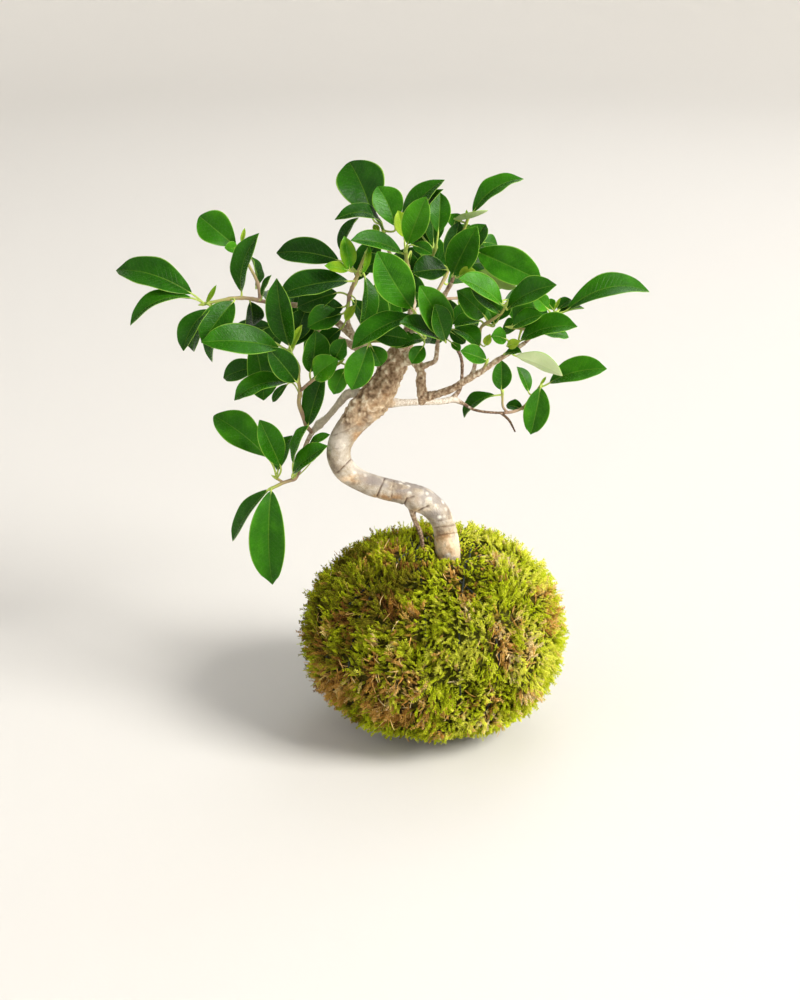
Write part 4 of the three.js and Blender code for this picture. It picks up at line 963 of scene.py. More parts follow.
def seen_on_ball(x, z):
    """Where the sight line of (x, 0, z) first meets the ball: the near root of the ellipsoid's quadratic."""
    ray = np.array((x, 0.0, z)) - EYE
    scale = np.array((BALL_RADIUS, BALL_RADIUS, BALL_RISE))
    start, step = (EYE - BALL_CENTRE) / scale, ray / scale
    a, b, c = step @ step, 2 * start @ step, start @ start - 1
    share = (-b - math.sqrt(max(b * b - 4 * a * c, 0))) / (2 * a)
    direction = unit(EYE + ray * share - BALL_CENTRE)
    return moss_points(direction[None])[0]


# ---------------------------------------------------------------- thread
THREAD_POINTS = 1080  # round each loop
THREAD_SIDES = 10
LOOP_GUESS = 60.0
LOOP_GUESSES = 25
LOOP_SMOOTHED = 12  # points to either side over which a loop is evened out


def thread_line(normal, offset):
    """A loop's middle line, and the directions from its middle to its points. It is where the loop's plane
    meets the moss, found by moving each guess by how far off the surface it lies, then evened out, drawn
    down round the foot of the trunk and lifted clear of the moss."""
    angle = 2 * np.pi * np.arange(THREAD_POINTS)[:, None] / THREAD_POINTS
    level = unit(np.cross((0, 0, 1), normal))
    outward = np.cos(angle) * level + np.sin(angle) * np.cross(normal, level)
    distance = np.full(THREAD_POINTS, LOOP_GUESS)
    for _ in range(LOOP_GUESSES):
        point = normal * offset + outward * distance[:, None]
        far = np.linalg.norm(point, axis=1)
        distance += moss_reach(point / far[:, None]) - far
    wrapped = np.concatenate([distance[-LOOP_SMOOTHED:], distance, distance[:LOOP_SMOOTHED]])
    window = 2 * LOOP_SMOOTHED + 1
    distance = np.convolve(wrapped, np.ones(window) / window, "valid")
    distance -= foot_hollow(normal * offset + outward * distance[:, None])
    path = BALL_CENTRE + normal * offset + outward * (distance + THREAD_LIFT)[:, None]
    path[:, 2] = np.maximum(path[:, 2], THREAD_RADIUS)
    return path, outward


def thread_body():
    """Two-ply thread wound round the moss in loops. The two plies are a cross-section with two lobes, which
    turns once in every pitch."""
    angle = 2 * np.pi * np.arange(THREAD_SIDES)[None, :] / THREAD_SIDES
    share = np.arange(THREAD_POINTS)[:, None] / THREAD_POINTS
    here = np.arange(THREAD_POINTS * THREAD_SIDES).reshape(THREAD_POINTS, THREAD_SIDES)
    ahead = np.roll(here, -1, axis=0)
    quads = np.stack([here, ahead, np.roll(ahead, -1, axis=1), np.roll(here, -1, axis=1)], axis=-1)
    parts = []
    for i, (normal, offset) in enumerate(loop_planes()):
        path, outward = thread_line(normal, offset)
        length = np.sum(np.linalg.norm(np.diff(path, axis=0), axis=1))
        twisted = np.cos(angle - 2 * np.pi * round(length / THREAD_PITCH) * share)
        radius = THREAD_RADIUS * (0.66 + 0.34 * np.abs(twisted))
        ring = np.cos(angle)[..., None] * outward[:, None] + np.sin(angle)[..., None] * normal
        points = (path[:, None] + radius[..., None] * ring).reshape(-1, 3)
        parts.append((points, quads.reshape(-1, 4), np.empty((0, 3), int), {"ply": twisted.ravel() + i}))
    return joined(parts)


# ---------------------------------------------------------------- leaves
# The columns of a blade's grid, in half widths off the rib: over the upper face from margin to margin, and
# back under it.
ACROSS = np.array([0.06, 0.2, 0.42, 0.65, 0.85, 0.965])
TOP_COLUMNS = np.concatenate([[1.0], ACROSS[::-1], [0.0], -ACROSS, [-1.0]])
UNDER_COLUMNS = np.concatenate([-ACROSS[::-1], [0.0], ACROSS])
BLADE_COLUMNS = np.concatenate([TOP_COLUMNS, UNDER_COLUMNS])[None, :]
IS_UPPER = (np.arange(BLADE_COLUMNS.size) < TOP_COLUMNS.size)[None, :]
IS_MARGIN = np.abs(BLADE_COLUMNS) == 1
BLADE_ROWS = 24
BLADE_END = 0.14  # half a blade's least width
MARGIN_RIPPLE = 0.055  # height of the waves at the margin, per half width
RIB_GROOVE = (0.16, 0.45)  # depth and half width over the rib
RIB_RIDGE = (0.5, 0.15, 0.5)  # height at the base and at the tip, and half width, under the rib
STALK_SWELL = (0.28, 1.1)  # a stem's swelling where a stalk leaves it: share of its radius, half width


def outline(t, blunt):
    """Half a blade's width over its largest, from base to tip: a power of a sine, drawn in to a drip tip
    over the last eighth. A blunt one is widest nearer its tip."""
    drip = np.clip((t - 0.88) / 0.12, 0, 1)
    full = np.clip(np.sin(np.pi * t ** (1.08 + 0.28 * blunt)), 0, 1) ** 0.7
    return full * (1 - (0.42 - 0.34 * blunt) * drip)


def blade_axes(x0, z0, back0, x1, z1, back1, turn):
    """A blade's base and length, and its directions along the rib, across it and up from its face."""
    base, tip = seen([(x0, z0, back0), (x1, z1, back1)])
    length = np.linalg.norm(tip - base)
    along = (tip - base) / length
    to_viewer = EYE - base
    to_viewer = unit(to_viewer - (to_viewer @ along) * along)
    side = np.cross(along, to_viewer)
    if side[2] + 0.3 * side[0] < 0:
        side = -side
    up = math.cos(math.radians(turn)) * to_viewer + math.sin(math.radians(turn)) * side
    return base, length, along, unit(np.cross(up, along)), up


def blade(leaf, thickness, rng):
    """A leaf blade, a grid of t along the rib and v across it. The rib is an arch, 4t(1 - t) of its rise. A
    point stands v half widths off it, raised by |v|^1.2 of the margin's rise and by two waves that grow
    towards the margin, and twists slowly about the rib. Its two faces lie half a thickness to either
    side, thinner towards the margin and the ends, with a groove over the rib and a ridge under it."""
    *ends, width, turn, arch, tone = leaf[:10]
    blunt = sum(leaf[10:])
    base, length, along, across, up = blade_axes(*ends, turn)
    even = np.linspace(0, 1, BLADE_ROWS)[:, None]
    t = 0.6 * (1 - np.cos(np.pi * even)) / 2 + 0.4 * even
    v = BLADE_COLUMNS
    half = np.maximum(width / 2 * outline(t, blunt), BLADE_END)
    one_sided = rng.normal(0, 0.03)
    offset = half * v * (1 + one_sided * np.sign(v))
    waves = np.where(v > 0, *rng.uniform(1.2, 2.6, 2))
    phases = np.where(v > 0, *rng.uniform(0, 2 * np.pi, 2))
    wave = np.sin(2 * np.pi * waves * t + phases)
    ripple = MARGIN_RIPPLE * half * np.abs(v) ** 2.2 * wave * rng.uniform(0.5, 1.5)
    sag = rng.normal(0, 0.012) * length * t**2
    rise = half * MARGIN_RISE * np.abs(v) ** 1.2 + ripple + sag
    taper = np.clip(half / 1.1, 0.25, 1)
    face = np.where(IS_MARGIN, 0, thickness / 2 * (1 - 0.35 * np.abs(v) ** 3)) * taper
    groove = RIB_GROOVE[0] * np.exp(-((offset / RIB_GROOVE[1]) ** 2)) * taper
    ridge = RIB_RIDGE[0] - (RIB_RIDGE[0] - RIB_RIDGE[1]) * t
    ridge = ridge * np.exp(-((offset / RIB_RIDGE[2]) ** 2)) * taper
    height = rise + np.where(IS_UPPER, face - groove, -face - ridge)
    twist = math.radians(rng.normal(0, 9)) * (t - 0.25)
    normal = unit(up - along * arch * 4 * (1 - 2 * t))
    across_here = np.cos(twist) * across + np.sin(twist) * normal
    normal_here = np.cos(twist) * normal - np.sin(twist) * across
    rib = base + along * length * t + up * (arch * length * 4 * t * (1 - t))
    rib = rib + across * (rng.normal(0, 0.018) * length * 4 * t * (1 - t))
    grid = rib[:, None] + offset[..., None] * across_here[:, None] + height[..., None] * normal_here[:, None]
    return closed_skin(
        grid,
        rib_mm=length * t,
        side_mm=offset,
        edge=np.abs(v),
        upper=np.where(IS_MARGIN, 0.5, IS_UPPER),
        tone=tone,
        share=t,
    )


def stalk_root(stems, base):
    """The point of a shoot's own wood nearest a blade's base: on each stretch, the base's shadow on it."""
    best = None
    for stem in stems:
        points = seen(stem)
        starts, spans = points[:-1], np.diff(points, axis=0)
        share = np.clip(np.sum((base - starts) * spans, axis=1) / np.sum(spans * spans, axis=1), 0, 1)
        near = starts + share[:, None] * spans
        distance = np.linalg.norm(near - base, axis=1)
        i = np.argmin(distance)
        if best is None or distance[i] < best[0]:
            best = (distance[i], near[i])
    return best[1]


def petiole(leaf, root):
    """A leaf's stalk: a quadratic curve from the stem to the blade's base that comes in along the rib, and
    runs on under the blade, thinning."""
    *ends, width, turn, arch = leaf[:9]
    base, _, along, _, up = blade_axes(*ends, turn)
    start = unit(along + 4 * arch * up)
    bend = base - start * min(0.45 * np.linalg.norm(base - root), 6)
    s = np.linspace(0, 1, 9)[:, None]
    curve = (1 - s) ** 2 * root + 2 * s * (1 - s) * bend + s * s * base
    under = base + start * np.array([[0.8], [2.0], [3.6]]) - up * np.array([[0.1], [0.2], [0.25]])
    thick = PETIOLE_RADIUS * min(1, 0.55 + width / 30)
    radius = thick * np.concatenate([[1.35, 1.05], np.linspace(0.95, 0.85, 7), [0.75, 0.5, 0.25]])[:, None]
    return closed_skin(tube(np.vstack([curve, under]), radius, sides=8), youth=0.95)


def stems_body(shoot):
    """A shoot's stems, leaf stalks and end buds. A stem is a tube that swells where a stalk leaves it; a bud
    is a pointed tube that carries the stem on."""
    limb, position = shoot["limb"]
    stems = [list(stem) for stem in shoot["stems"]]
    start = WOOD[limb][position]
    roots = np.array([stalk_root(shoot["stems"], seen([leaf[:3]])[0]) for leaf in shoot["leaves"]])
    stems[0] = [(*start[:3], stems[0][0][3])] + stems[0]
    parts = []
    for stem in stems:
        path, radius = smooth_path(stem, steps=5)
        nearest = np.min(np.linalg.norm(path[:, None] - roots, axis=2), axis=1)
        share = np.linspace(0, 1, len(path))[:, None]
        radius = radius * (1 + STALK_SWELL[0] * np.exp(-((nearest / STALK_SWELL[1]) ** 2)))
        parts.append(closed_skin(tube(path, radius[:, None], sides=10), youth=0.1 + 0.6 * share))
        ahead = unit(path[-1] - path[-2])
        bud = path[-1] + ahead * np.array([[-0.4], [0.3], [1.2], [2.4], [3.6]])
        shape = radius[-1] * np.array([[0.9], [1.1], [0.95], [0.55], [0.12]])
        parts.append(closed_skin(tube(bud, shape, sides=8), youth=1.0))
    parts += [petiole(leaf, root) for leaf, root in zip(shoot["leaves"], roots)]
    return joined(parts)


# ---------------------------------------------------------------- wood
LIMB_STEPS = 6  # samples between two points of a limb
LIMB_SIDES = 20
LIMB_APART = 300  # between two limbs' distances along, so that rings of noise don't match on them
NEAREST_AT_ONCE = 4000  # points whose nearest wood is looked for together
CREASE_CUT = 0.8  # how deep the deepest crease is
OLD_HEIGHT = (183, 199)  # the bark turns old between these, which noise lowers by up to 10
OLD_BARK = 0.3  # how old bark is from which its knobs are the larger ones
SCAR_PITCH = 6.5  # between two leaf scars along a thin limb
SCAR_START = 3.2
SCAR_RIDGE = (0.2, 0.35)  # height and half width


def remeshed(name, body):
    """The tubes of trunk and limbs grown into one skin, by a voxel remesh. Gives the mesh, its points
    in mm and their normals."""
    piece = add_piece(name, body, bpy.data.materials.new(name), "bark")
    modifier = piece.modifiers.new("grow_together", "REMESH")
    modifier.mode = "VOXEL"
    modifier.voxel_size = BARK_VOXEL * MM
    modifier.use_smooth_shade = True
    evaluated = piece.evaluated_get(bpy.context.evaluated_depsgraph_get())
    mesh = bpy.data.meshes.new_from_object(evaluated)
    bpy.data.objects.remove(piece)
    mesh.materials.clear()
    points = np.empty(len(mesh.vertices) * 3, np.float32)
    normals = np.empty_like(points)
    mesh.vertices.foreach_get("co", points)
    mesh.vertex_normals.foreach_get("vector", normals)
    return mesh, points.reshape(-1, 3) / MM, normals.reshape(-1, 3).astype(float)


def wood_place(points):
    """For each point: the radius of the wood under it, its distance along that limb, its angle round it, and
    how pale and how rough that limb is. The limb is the one whose surface is nearest."""
    limbs = []
    for i, (name, rows) in enumerate(WOOD.items()):
        path, radius = smooth_path(rows, LIMB_STEPS)
        step = np.linalg.norm(np.diff(path, axis=0), axis=1)
        length = np.concatenate([[0], np.cumsum(step)]) + LIMB_APART * i
        bark = np.tile(LIMB_BARK.get(name, OTHER_BARK), (len(path), 1))
        limbs.append((path, radius, length, *carried_axes(path), bark))
    paths, radii, lengths, across, other, barks = (np.concatenate(each) for each in zip(*limbs))
    chunks = np.array_split(points, max(1, len(points) // NEAREST_AT_ONCE))
    nearest = [np.argmin(np.linalg.norm(some[:, None] - paths, axis=2) - radii, axis=1) for some in chunks]
    nearest = np.concatenate(nearest)
    off = points - paths[nearest]
    angle = np.arctan2(np.sum(off * other[nearest], axis=1), np.sum(off * across[nearest], axis=1))
    pale = barks[nearest, 0] * soft_step(radii[nearest], 1.0, 1.8)
    return radii[nearest], lengths[nearest], angle, pale, barks[nearest, 1]


def crease_depth(points, x, z):
    """How deep in a crease each point is, from 0 to 1: a bell curve over the distance, as seen, to the
    nearest part of the crease's line. The line wavers with noise."""
    depth = np.zeros(len(points))
    waver = 0.9 * (lattice_noise(points, cell=3, seed=27) - 0.5)
    for x0, z0, x1, z1, wide, deep in CREASES:
        span = np.array((x1 - x0, z1 - z0))
        share = np.clip(((x - x0) * span[0] + (z - z0) * span[1]) / (span @ span), 0, 1)
        away = np.hypot(x - x0 - share * span[0] + waver, z - z0 - share * span[1] + waver) / wide
        depth = np.maximum(depth, deep * np.exp(-away * away))
    return depth


def bark_knobs(points, radius, rough):
    """How old and how knobbly the bark is, the noise of its knobs, and how high each point lies among them.
    That height colours the bark with painted shade low among the knobs and a painted highlight on them, and
    is raised near the top of the trunk as painted light. It is old above the second bend of the trunk; old
    bark, and thin limbs as far as they are rough, are knobbly. Knobs are noise of two sizes, larger and with
    more contrast on old bark."""
    wavering = points[:, 2] + 10 * lattice_noise(points, cell=7, seed=20)
    old = soft_step(wavering, *OLD_HEIGHT) * soft_step(radius, 2.4, 4.0)
    knobbly = np.maximum(old, rough * soft_step(radius, 0.6, 1.6) * (1 - soft_step(radius, 4.0, 6.0)))
    scale = np.where(old > OLD_BARK, 0.48, 0.28)[:, None]
    large = lattice_noise(points / scale, cell=4.4, seed=25)
    knob = 0.62 * large + 0.38 * lattice_noise(points / scale, cell=2.0, seed=31)
    # The stronger contrast on old bark deepens the painted shade and highlight among the knobs.
    contrast = np.where(old > OLD_BARK, 1.45, 1.1)
    # Painted light: the top of the trunk, 208 to 230 mm up, is lighter against the shade of the leaves over
    # it.
    level = 0.5 + contrast * (knob - 0.5) + 0.16 * soft_step(points[:, 2], 208, 230)
    return old, knobbly, knob, np.clip(level, 0, 1)


def bark_relief(points, normals, radius, length, angle, rough):
    """How far the bark stands out; how deep in a crease each point is; how tan, from flaking and from
    painted warm shade; how grey, from weathering and from painted sky light; how knobbly; and how high it
    lies among its knobs. The relief adds soft lumps, fine rings across the limb, grain, knobs, the named
    swellings, and leaf scars round thin limbs, and takes the creases away."""
    x, z = sight(points)
    facing = soft_step(-normals[:, 1], -0.4, 0.1)
    thick = np.clip(radius / 6, 0.15, 1.2)
    is_stout = soft_step(radius, 2.4, 4)
    old, knobbly, knob, level = bark_knobs(points, radius, rough)
    crease = facing * crease_depth(points, x, z)

    ringed = np.stack([np.cos(angle) * radius / 4, np.sin(angle) * radius / 4, length * 1.4], axis=1)
    relief = 1.1 * thick * (lattice_noise(points, cell=12, seed=21) - 0.5)
    relief += 0.24 * thick * (lattice_noise(ringed, cell=2.6, seed=23) - 0.5)
    relief += 0.12 * thick * (lattice_noise(points, cell=1.3, seed=24) - 0.5)
    relief += knobbly * (knob - 0.5) * np.clip(radius * 0.55, 0.8, 2.6)
    for px, pz, wide, high in KNOBS:
        relief += high * facing * np.exp(-(((x - px) ** 2 + (z - pz) ** 2) / wide**2))
    from_scar = (length + 2 * lattice_noise(points, cell=8, seed=28)) % SCAR_PITCH - SCAR_START
    scar = SCAR_RIDGE[0] * np.exp(-((from_scar / SCAR_RIDGE[1]) ** 2))
    relief += scar * (radius < 3.0) * np.clip(radius / 2, 0.4, 1)
    relief -= CREASE_CUT * crease

    broken = soft_step(lattice_noise(points, cell=2.6, seed=30), 0.15, 0.6)
    # Tan where the bark has flaked, and tan as painted warm shade along the undersides and inside the bend.
    flaked_and_warm_shade = np.clip(1.5 * facing * spots(x, z, TAN_PATCHES) * broken * is_stout, 0, 1) * (1 - 0.45 * old)
    blotched = soft_step(lattice_noise(points, cell=4, seed=33), 0.25, 0.6)
    # Grey where the bark faces up, partly weathering and partly painted sky light on the tops; the grey
    # patches are weathering.
    weathered_and_skylit = 0.6 * soft_step(normals[:, 2], 0.05, 0.8) + 1.3 * facing * spots(x, z, GREY_PATCHES)
    weathered_and_skylit = np.clip(weathered_and_skylit * blotched, 0, 1) * (1 - old) * is_stout
    values = {"crease": np.clip(crease, 0, 1), "flaked_and_warm_shade": flaked_and_warm_shade, "weathered_and_skylit": weathered_and_skylit}
    return relief, {**values, "knobbly": knobbly, "level": level}


# ---------------------------------------------------------------- materials
VEIN_PITCH = 2.7  # mm along the rib between two side veins
VEIN_SLANT = 0.8  # how far a side vein runs forward, over how far it runs out


def rgba(colour):
    """An sRGB hex colour, or a linear one, as linear red, green, blue and an alpha of 1."""
    return (*(linear(colour) if isinstance(colour, str) else colour), 1)


def add_node(tree, kind, *values, result=None, **named):
    """Adds a node and gives its first output, or the one that `result` names. Names in small letters are
    the node's own settings, and `stops` a colour ramp's (position, colour) pairs. The values go to the
    node's inputs in order, and names with a capital to the input of that name, with _ for a space. A
    socket is linked, and a hex colour made linear."""
    node = tree.nodes.new("ShaderNode" + kind)
    for i, (position, colour) in enumerate(named.pop("stops", ())):
        elements = node.color_ramp.elements
        element = elements[i] if i < 2 else elements.new(position)
        element.position = position
        element.color = rgba(colour)
    for name, value in named.items():
        if name[0].islower():
            setattr(node, name, value)
    inputs = list(zip((socket for socket in node.inputs if socket.enabled), values))
    inputs += [(node.inputs[name.replace("_", " ")], named[name]) for name in named if name[0].isupper()]
    for socket, value in inputs:
        if isinstance(value, bpy.types.NodeSocket):
            tree.links.new(value, socket)
        else:
            socket.default_value = rgba(value) if isinstance(value, str) else value
    return node.outputs[result] if result else next((s for s in node.outputs if s.enabled), None)


def new_material(name):
    """An empty material, its node tree, and each point's place on the piece."""
    material = bpy.data.materials.new(name)
    material.use_nodes = True
    tree = material.node_tree
    tree.nodes.clear()
    return material, tree, add_node(tree, "TexCoord", result="Object")


def stirred(tree, value, pattern, share):
    """A value that a pattern from 0 to 1 moves up and down: value + share (pattern - 0.5)."""
    lowered = add_node(tree, "Math", value, share / 2, operation="SUBTRACT")
    return add_node(tree, "Math", pattern, share, lowered, operation="MULTIPLY_ADD")


def finish_material(tree, colour, roughness, height, relief_mm, **skin):
    """Ends a material: a Principled surface with a colour, a roughness and a bump of relief_mm at most. The
    skin is the shader's own inputs, named with _ for a space."""
    bump = add_node(tree, "Bump", Strength=1.0, Distance=relief_mm * MM, Height=height)
    shader = add_node(tree, "BsdfPrincipled", Base_Color=colour, Roughness=roughness, Normal=bump, **skin)
    add_node(tree, "OutputMaterial", Surface=shader)


def leaf_material(settings):
    """Fig leaf, grown, with a waxy cuticle: a smooth, deep green upper face with a soft gloss, a slightly
    paler rib, a paler margin that is partly the leaf's own edge and partly painted rim light, a dull paler
    underside, and yellow-green young leaves."""
    material, tree, place = new_material("waxy_fig_leaf")
    tone, upper, edge, rib_mm, side_mm, share = (
        add_node(tree, "Attribute", attribute_name=name, result="Fac")
        for name in ("tone", "upper", "edge", "rib_mm", "side_mm", "share")
    )
    # Clouds about 8 mm across, and a grain about 0.9 mm across.
    cloud = add_node(tree, "TexNoise", place, Scale=1 / (8 * MM), Detail=3.0)
    grain = add_node(tree, "TexNoise", place, Scale=1 / (0.9 * MM), Detail=2.0)
    lowered = add_node(tree, "Math", tone, 0.225, operation="SUBTRACT")
    aged = add_node(tree, "Math", cloud, 0.42, lowered, operation="MULTIPLY_ADD")
    # Leaves are a little yellower towards the margin.
    yellowed = add_node(tree, "Math", edge, 0.09, aged, operation="MULTIPLY_ADD")
    greens = [
        (0.0, settings.dark), (0.22, "#1C4708"), (0.45, settings.mature), (0.66, "#418410"),
        (0.84, "#7C9C20"), (1.0, settings.young),
    ]
    face = add_node(tree, "ValToRGB", yellowed, stops=greens)
    dull_greens = [(0.0, "#4C6A2A"), (0.5, settings.underside), (1.0, "#C4D2A2")]
    under = add_node(tree, "ValToRGB", aged, stops=dull_greens)
    # The rib is about 0.8 mm wide at the base and thins to the tip.
    off_rib = add_node(tree, "Math", side_mm, operation="ABSOLUTE")
    rib_width = add_node(tree, "MapRange", share, To_Min=0.45, To_Max=0.14)
    ribs_off = add_node(tree, "Math", off_rib, rib_width, operation="DIVIDE")
    rib = add_node(tree, "MapRange", ribs_off, 0.45, 1.3, 1.0, 0.0, interpolation_type="SMOOTHSTEP")
    # Side veins are the crests of cos(2 pi (along - slant · off) / pitch), which the clouds make waver.
    slanted = add_node(tree, "Math", off_rib, -VEIN_SLANT, rib_mm, operation="MULTIPLY_ADD")
    wavered = add_node(tree, "Math", cloud, 1.6, slanted, operation="MULTIPLY_ADD")
    turned = add_node(tree, "Math", wavered, 2 * math.pi / VEIN_PITCH, operation="MULTIPLY")
    wave = add_node(tree, "Math", turned, operation="COSINE")
    crest = add_node(tree, "MapRange", wave, From_Min=0.7, interpolation_type="SMOOTHSTEP")
    inner = add_node(tree, "MapRange", edge, 0.5, 0.95, 1.0, 0.0)
    vein = add_node(tree, "Math", crest, inner, operation="MULTIPLY")
    drawn = add_node(tree, "Math", vein, 0.16, rib, operation="MULTIPLY_ADD")
    lines = add_node(tree, "Math", drawn, 0.17, operation="MULTIPLY")
    # The pale line at the margin is partly the leaf's own edge and partly painted rim light.
    margin = add_node(tree, "MapRange", edge, 0.92, 1.0, 0.0, 0.8, interpolation_type="SMOOTHSTEP")
    pale = add_node(tree, "Math", lines, margin, operation="MAXIMUM")
    both_faces = add_node(tree, "Mix", upper, under, face, data_type="RGBA")
    colour = add_node(tree, "Mix", pale, both_faces, rgba(settings.rib), data_type="RGBA")
    gloss = add_node(tree, "MapRange", upper, To_Min=0.58, To_Max=0.22)
    roughness = add_node(tree, "Math", grain, 0.1, gloss, operation="MULTIPLY_ADD")
    height = add_node(tree, "Math", vein, -0.35, grain, operation="MULTIPLY_ADD")
    height = add_node(tree, "Math", cloud, 1.6, height, operation="MULTIPLY_ADD")
    finish_material(
        tree, colour, roughness, height, 0.18,
        Subsurface_Weight=0.15, Subsurface_Radius=(0.4, 1.0, 0.1), Subsurface_Scale=1.2 * MM, IOR=1.2,
        Specular_IOR_Level=0.46,
    )
    return material


def stem_material(settings):
    """Young fig wood and leaf stalks, grown: green where soft, pinkish brown and dull where hard."""
    material, tree, place = new_material("young_fig_stem")
    youth = add_node(tree, "Attribute", attribute_name="youth", result="Fac")
    # Specks about 1.5 mm across.
    speck = add_node(tree, "TexNoise", place, Scale=1 / (1.5 * MM), Detail=4.0)
    aged = stirred(tree, youth, speck, 0.5)
    browns_to_greens = [
        (0.0, "#6B5142"), (0.25, "#A08770"), (0.5, "#A39A5E"), (0.75, "#8FA63E"), (1.0, settings.stalk),
    ]
    colour = add_node(tree, "ValToRGB", aged, stops=browns_to_greens)
    roughness = add_node(tree, "MapRange", aged, To_Min=0.75, To_Max=0.45)
    finish_material(
        tree, colour, roughness, speck, 0.25, Subsurface_Weight=0.1, Subsurface_Scale=1.0 * MM, IOR=1.35
    )
    return material


def bark_material(settings):
    """Fig bark, grown: smooth, dull, grey-beige skin with soft whitish pores on the trunk. It is greyer
    where it faces up, partly from weathering and partly as painted sky light. Above the second bend and on
    the front limbs it is knobbly: cream on the knobs and dark brown between them, partly the bark's own
    colours and partly a painted highlight on the knobs and painted shade between them. It is flaking to tan
    in places, with tan along the undersides and inside the bend as painted warm shade. It is darker in the
    creases, partly as painted shade. The limbs at the back are pale and smooth."""
    material, tree, place = new_material("fig_bark")
    crease, flaked_and_warm_shade, girth, knobbly, level, pale, weathered_and_skylit = (
        add_node(tree, "Attribute", attribute_name=name, result="Fac")
        for name in ("crease", "flaked_and_warm_shade", "girth", "knobbly", "level", "pale", "weathered_and_skylit")
    )
    # Blotches about 9 mm across, grain about 1.2 mm, and pores in cells of about 5.5 mm.
    blotch = add_node(tree, "TexNoise", place, Scale=1 / (9 * MM), Detail=4.0, Roughness=0.55)
    grain = add_node(tree, "TexNoise", place, Scale=1 / (1.2 * MM), Detail=4.0, Roughness=0.6)
    cells = add_node(tree, "TexVoronoi", place, Scale=1 / (5.5 * MM))
    spot = add_node(tree, "MapRange", cells, 0.08, 0.34, 1.0, 0.0, interpolation_type="SMOOTHSTEP")
    in_blotch = add_node(tree, "MapRange", blotch, 0.46, 0.56, 0.0, 0.75)
    pored = add_node(tree, "Math", in_blotch, weathered_and_skylit, operation="MAXIMUM")
    pore = add_node(tree, "Math", spot, pored, operation="MULTIPLY")
    mottled = stirred(tree, blotch, grain, 0.25)
    greys = [(0.3, settings.shade), (0.45, settings.bark), (0.6, settings.pale), (0.75, "#DCD2C4")]
    skin = add_node(tree, "ValToRGB", mottled, stops=greys)
    # Lilac grey where the bark faces up is partly painted sky light.
    greyed = add_node(tree, "Math", weathered_and_skylit, 0.75, operation="MULTIPLY")
    skin = add_node(tree, "Mix", greyed, skin, "#8A827F", data_type="RGBA")
    # Wood under 4.6 mm in radius turns to twig, all of it below 2.8 mm.
    lowered = add_node(tree, "Math", grain, 0.12, operation="SUBTRACT")
    twig_level = add_node(tree, "Math", pale, 0.34, lowered, operation="MULTIPLY_ADD")
    twig_browns = [
        (0.3, "#4A3526"), (0.45, "#7F6650"), (0.6, "#B3A18E"), (0.75, "#D5CABC"), (0.9, "#E8E1D6"),
    ]
    twig = add_node(tree, "ValToRGB", twig_level, stops=twig_browns)
    thin = add_node(tree, "MapRange", girth, 2.8, 4.6, 1.0, 0.0)
    colour = add_node(tree, "Mix", thin, skin, twig, data_type="RGBA")
    # Dark brown low among the knobs to cream on their tops: partly the bark's own colours, partly painted
    # shade between the knobs and a painted highlight on them.
    knob_shade_to_highlight = [
        (0.1, "#5E4836"), (0.3, "#846A50"), (0.5, "#A38A6E"), (0.68, "#BCA589"), (0.88, "#E2D5BD"),
    ]
    knobs = add_node(tree, "ValToRGB", stirred(tree, level, grain, 0.5), stops=knob_shade_to_highlight)
    colour = add_node(tree, "Mix", knobbly, colour, knobs, data_type="RGBA")
    smooth = add_node(tree, "Math", 1.0, knobbly, operation="SUBTRACT")
    whitened = add_node(tree, "Math", pore, smooth, operation="MULTIPLY")
    colour = add_node(tree, "Mix", whitened, colour, "#E9E2D6", data_type="RGBA")
    # Tan from flaking, and from painted warm shade on the undersides and inside the bend.
    bare = add_node(tree, "ValToRGB", mottled, stops=[(0.38, settings.flaked_and_warm_shade), (0.56, "#F0D2AC")])
    bared = add_node(tree, "Math", flaked_and_warm_shade, 0.72, operation="MULTIPLY")
    colour = add_node(tree, "Mix", bared, colour, bare, data_type="RGBA")
    # Creases darken to the crease colour: partly the bark's own darker colour there, partly painted shade in
    # the crease.
    colour = add_node(tree, "Mix", crease, colour, rgba(settings.crease), data_type="RGBA")
    height = add_node(tree, "Math", pore, 0.3, grain, operation="MULTIPLY_ADD")
    roughness = add_node(tree, "MapRange", grain, 0.3, 0.7, 0.85, 0.62)
    finish_material(tree, colour, roughness, height, 0.5, IOR=1.35)
    return material


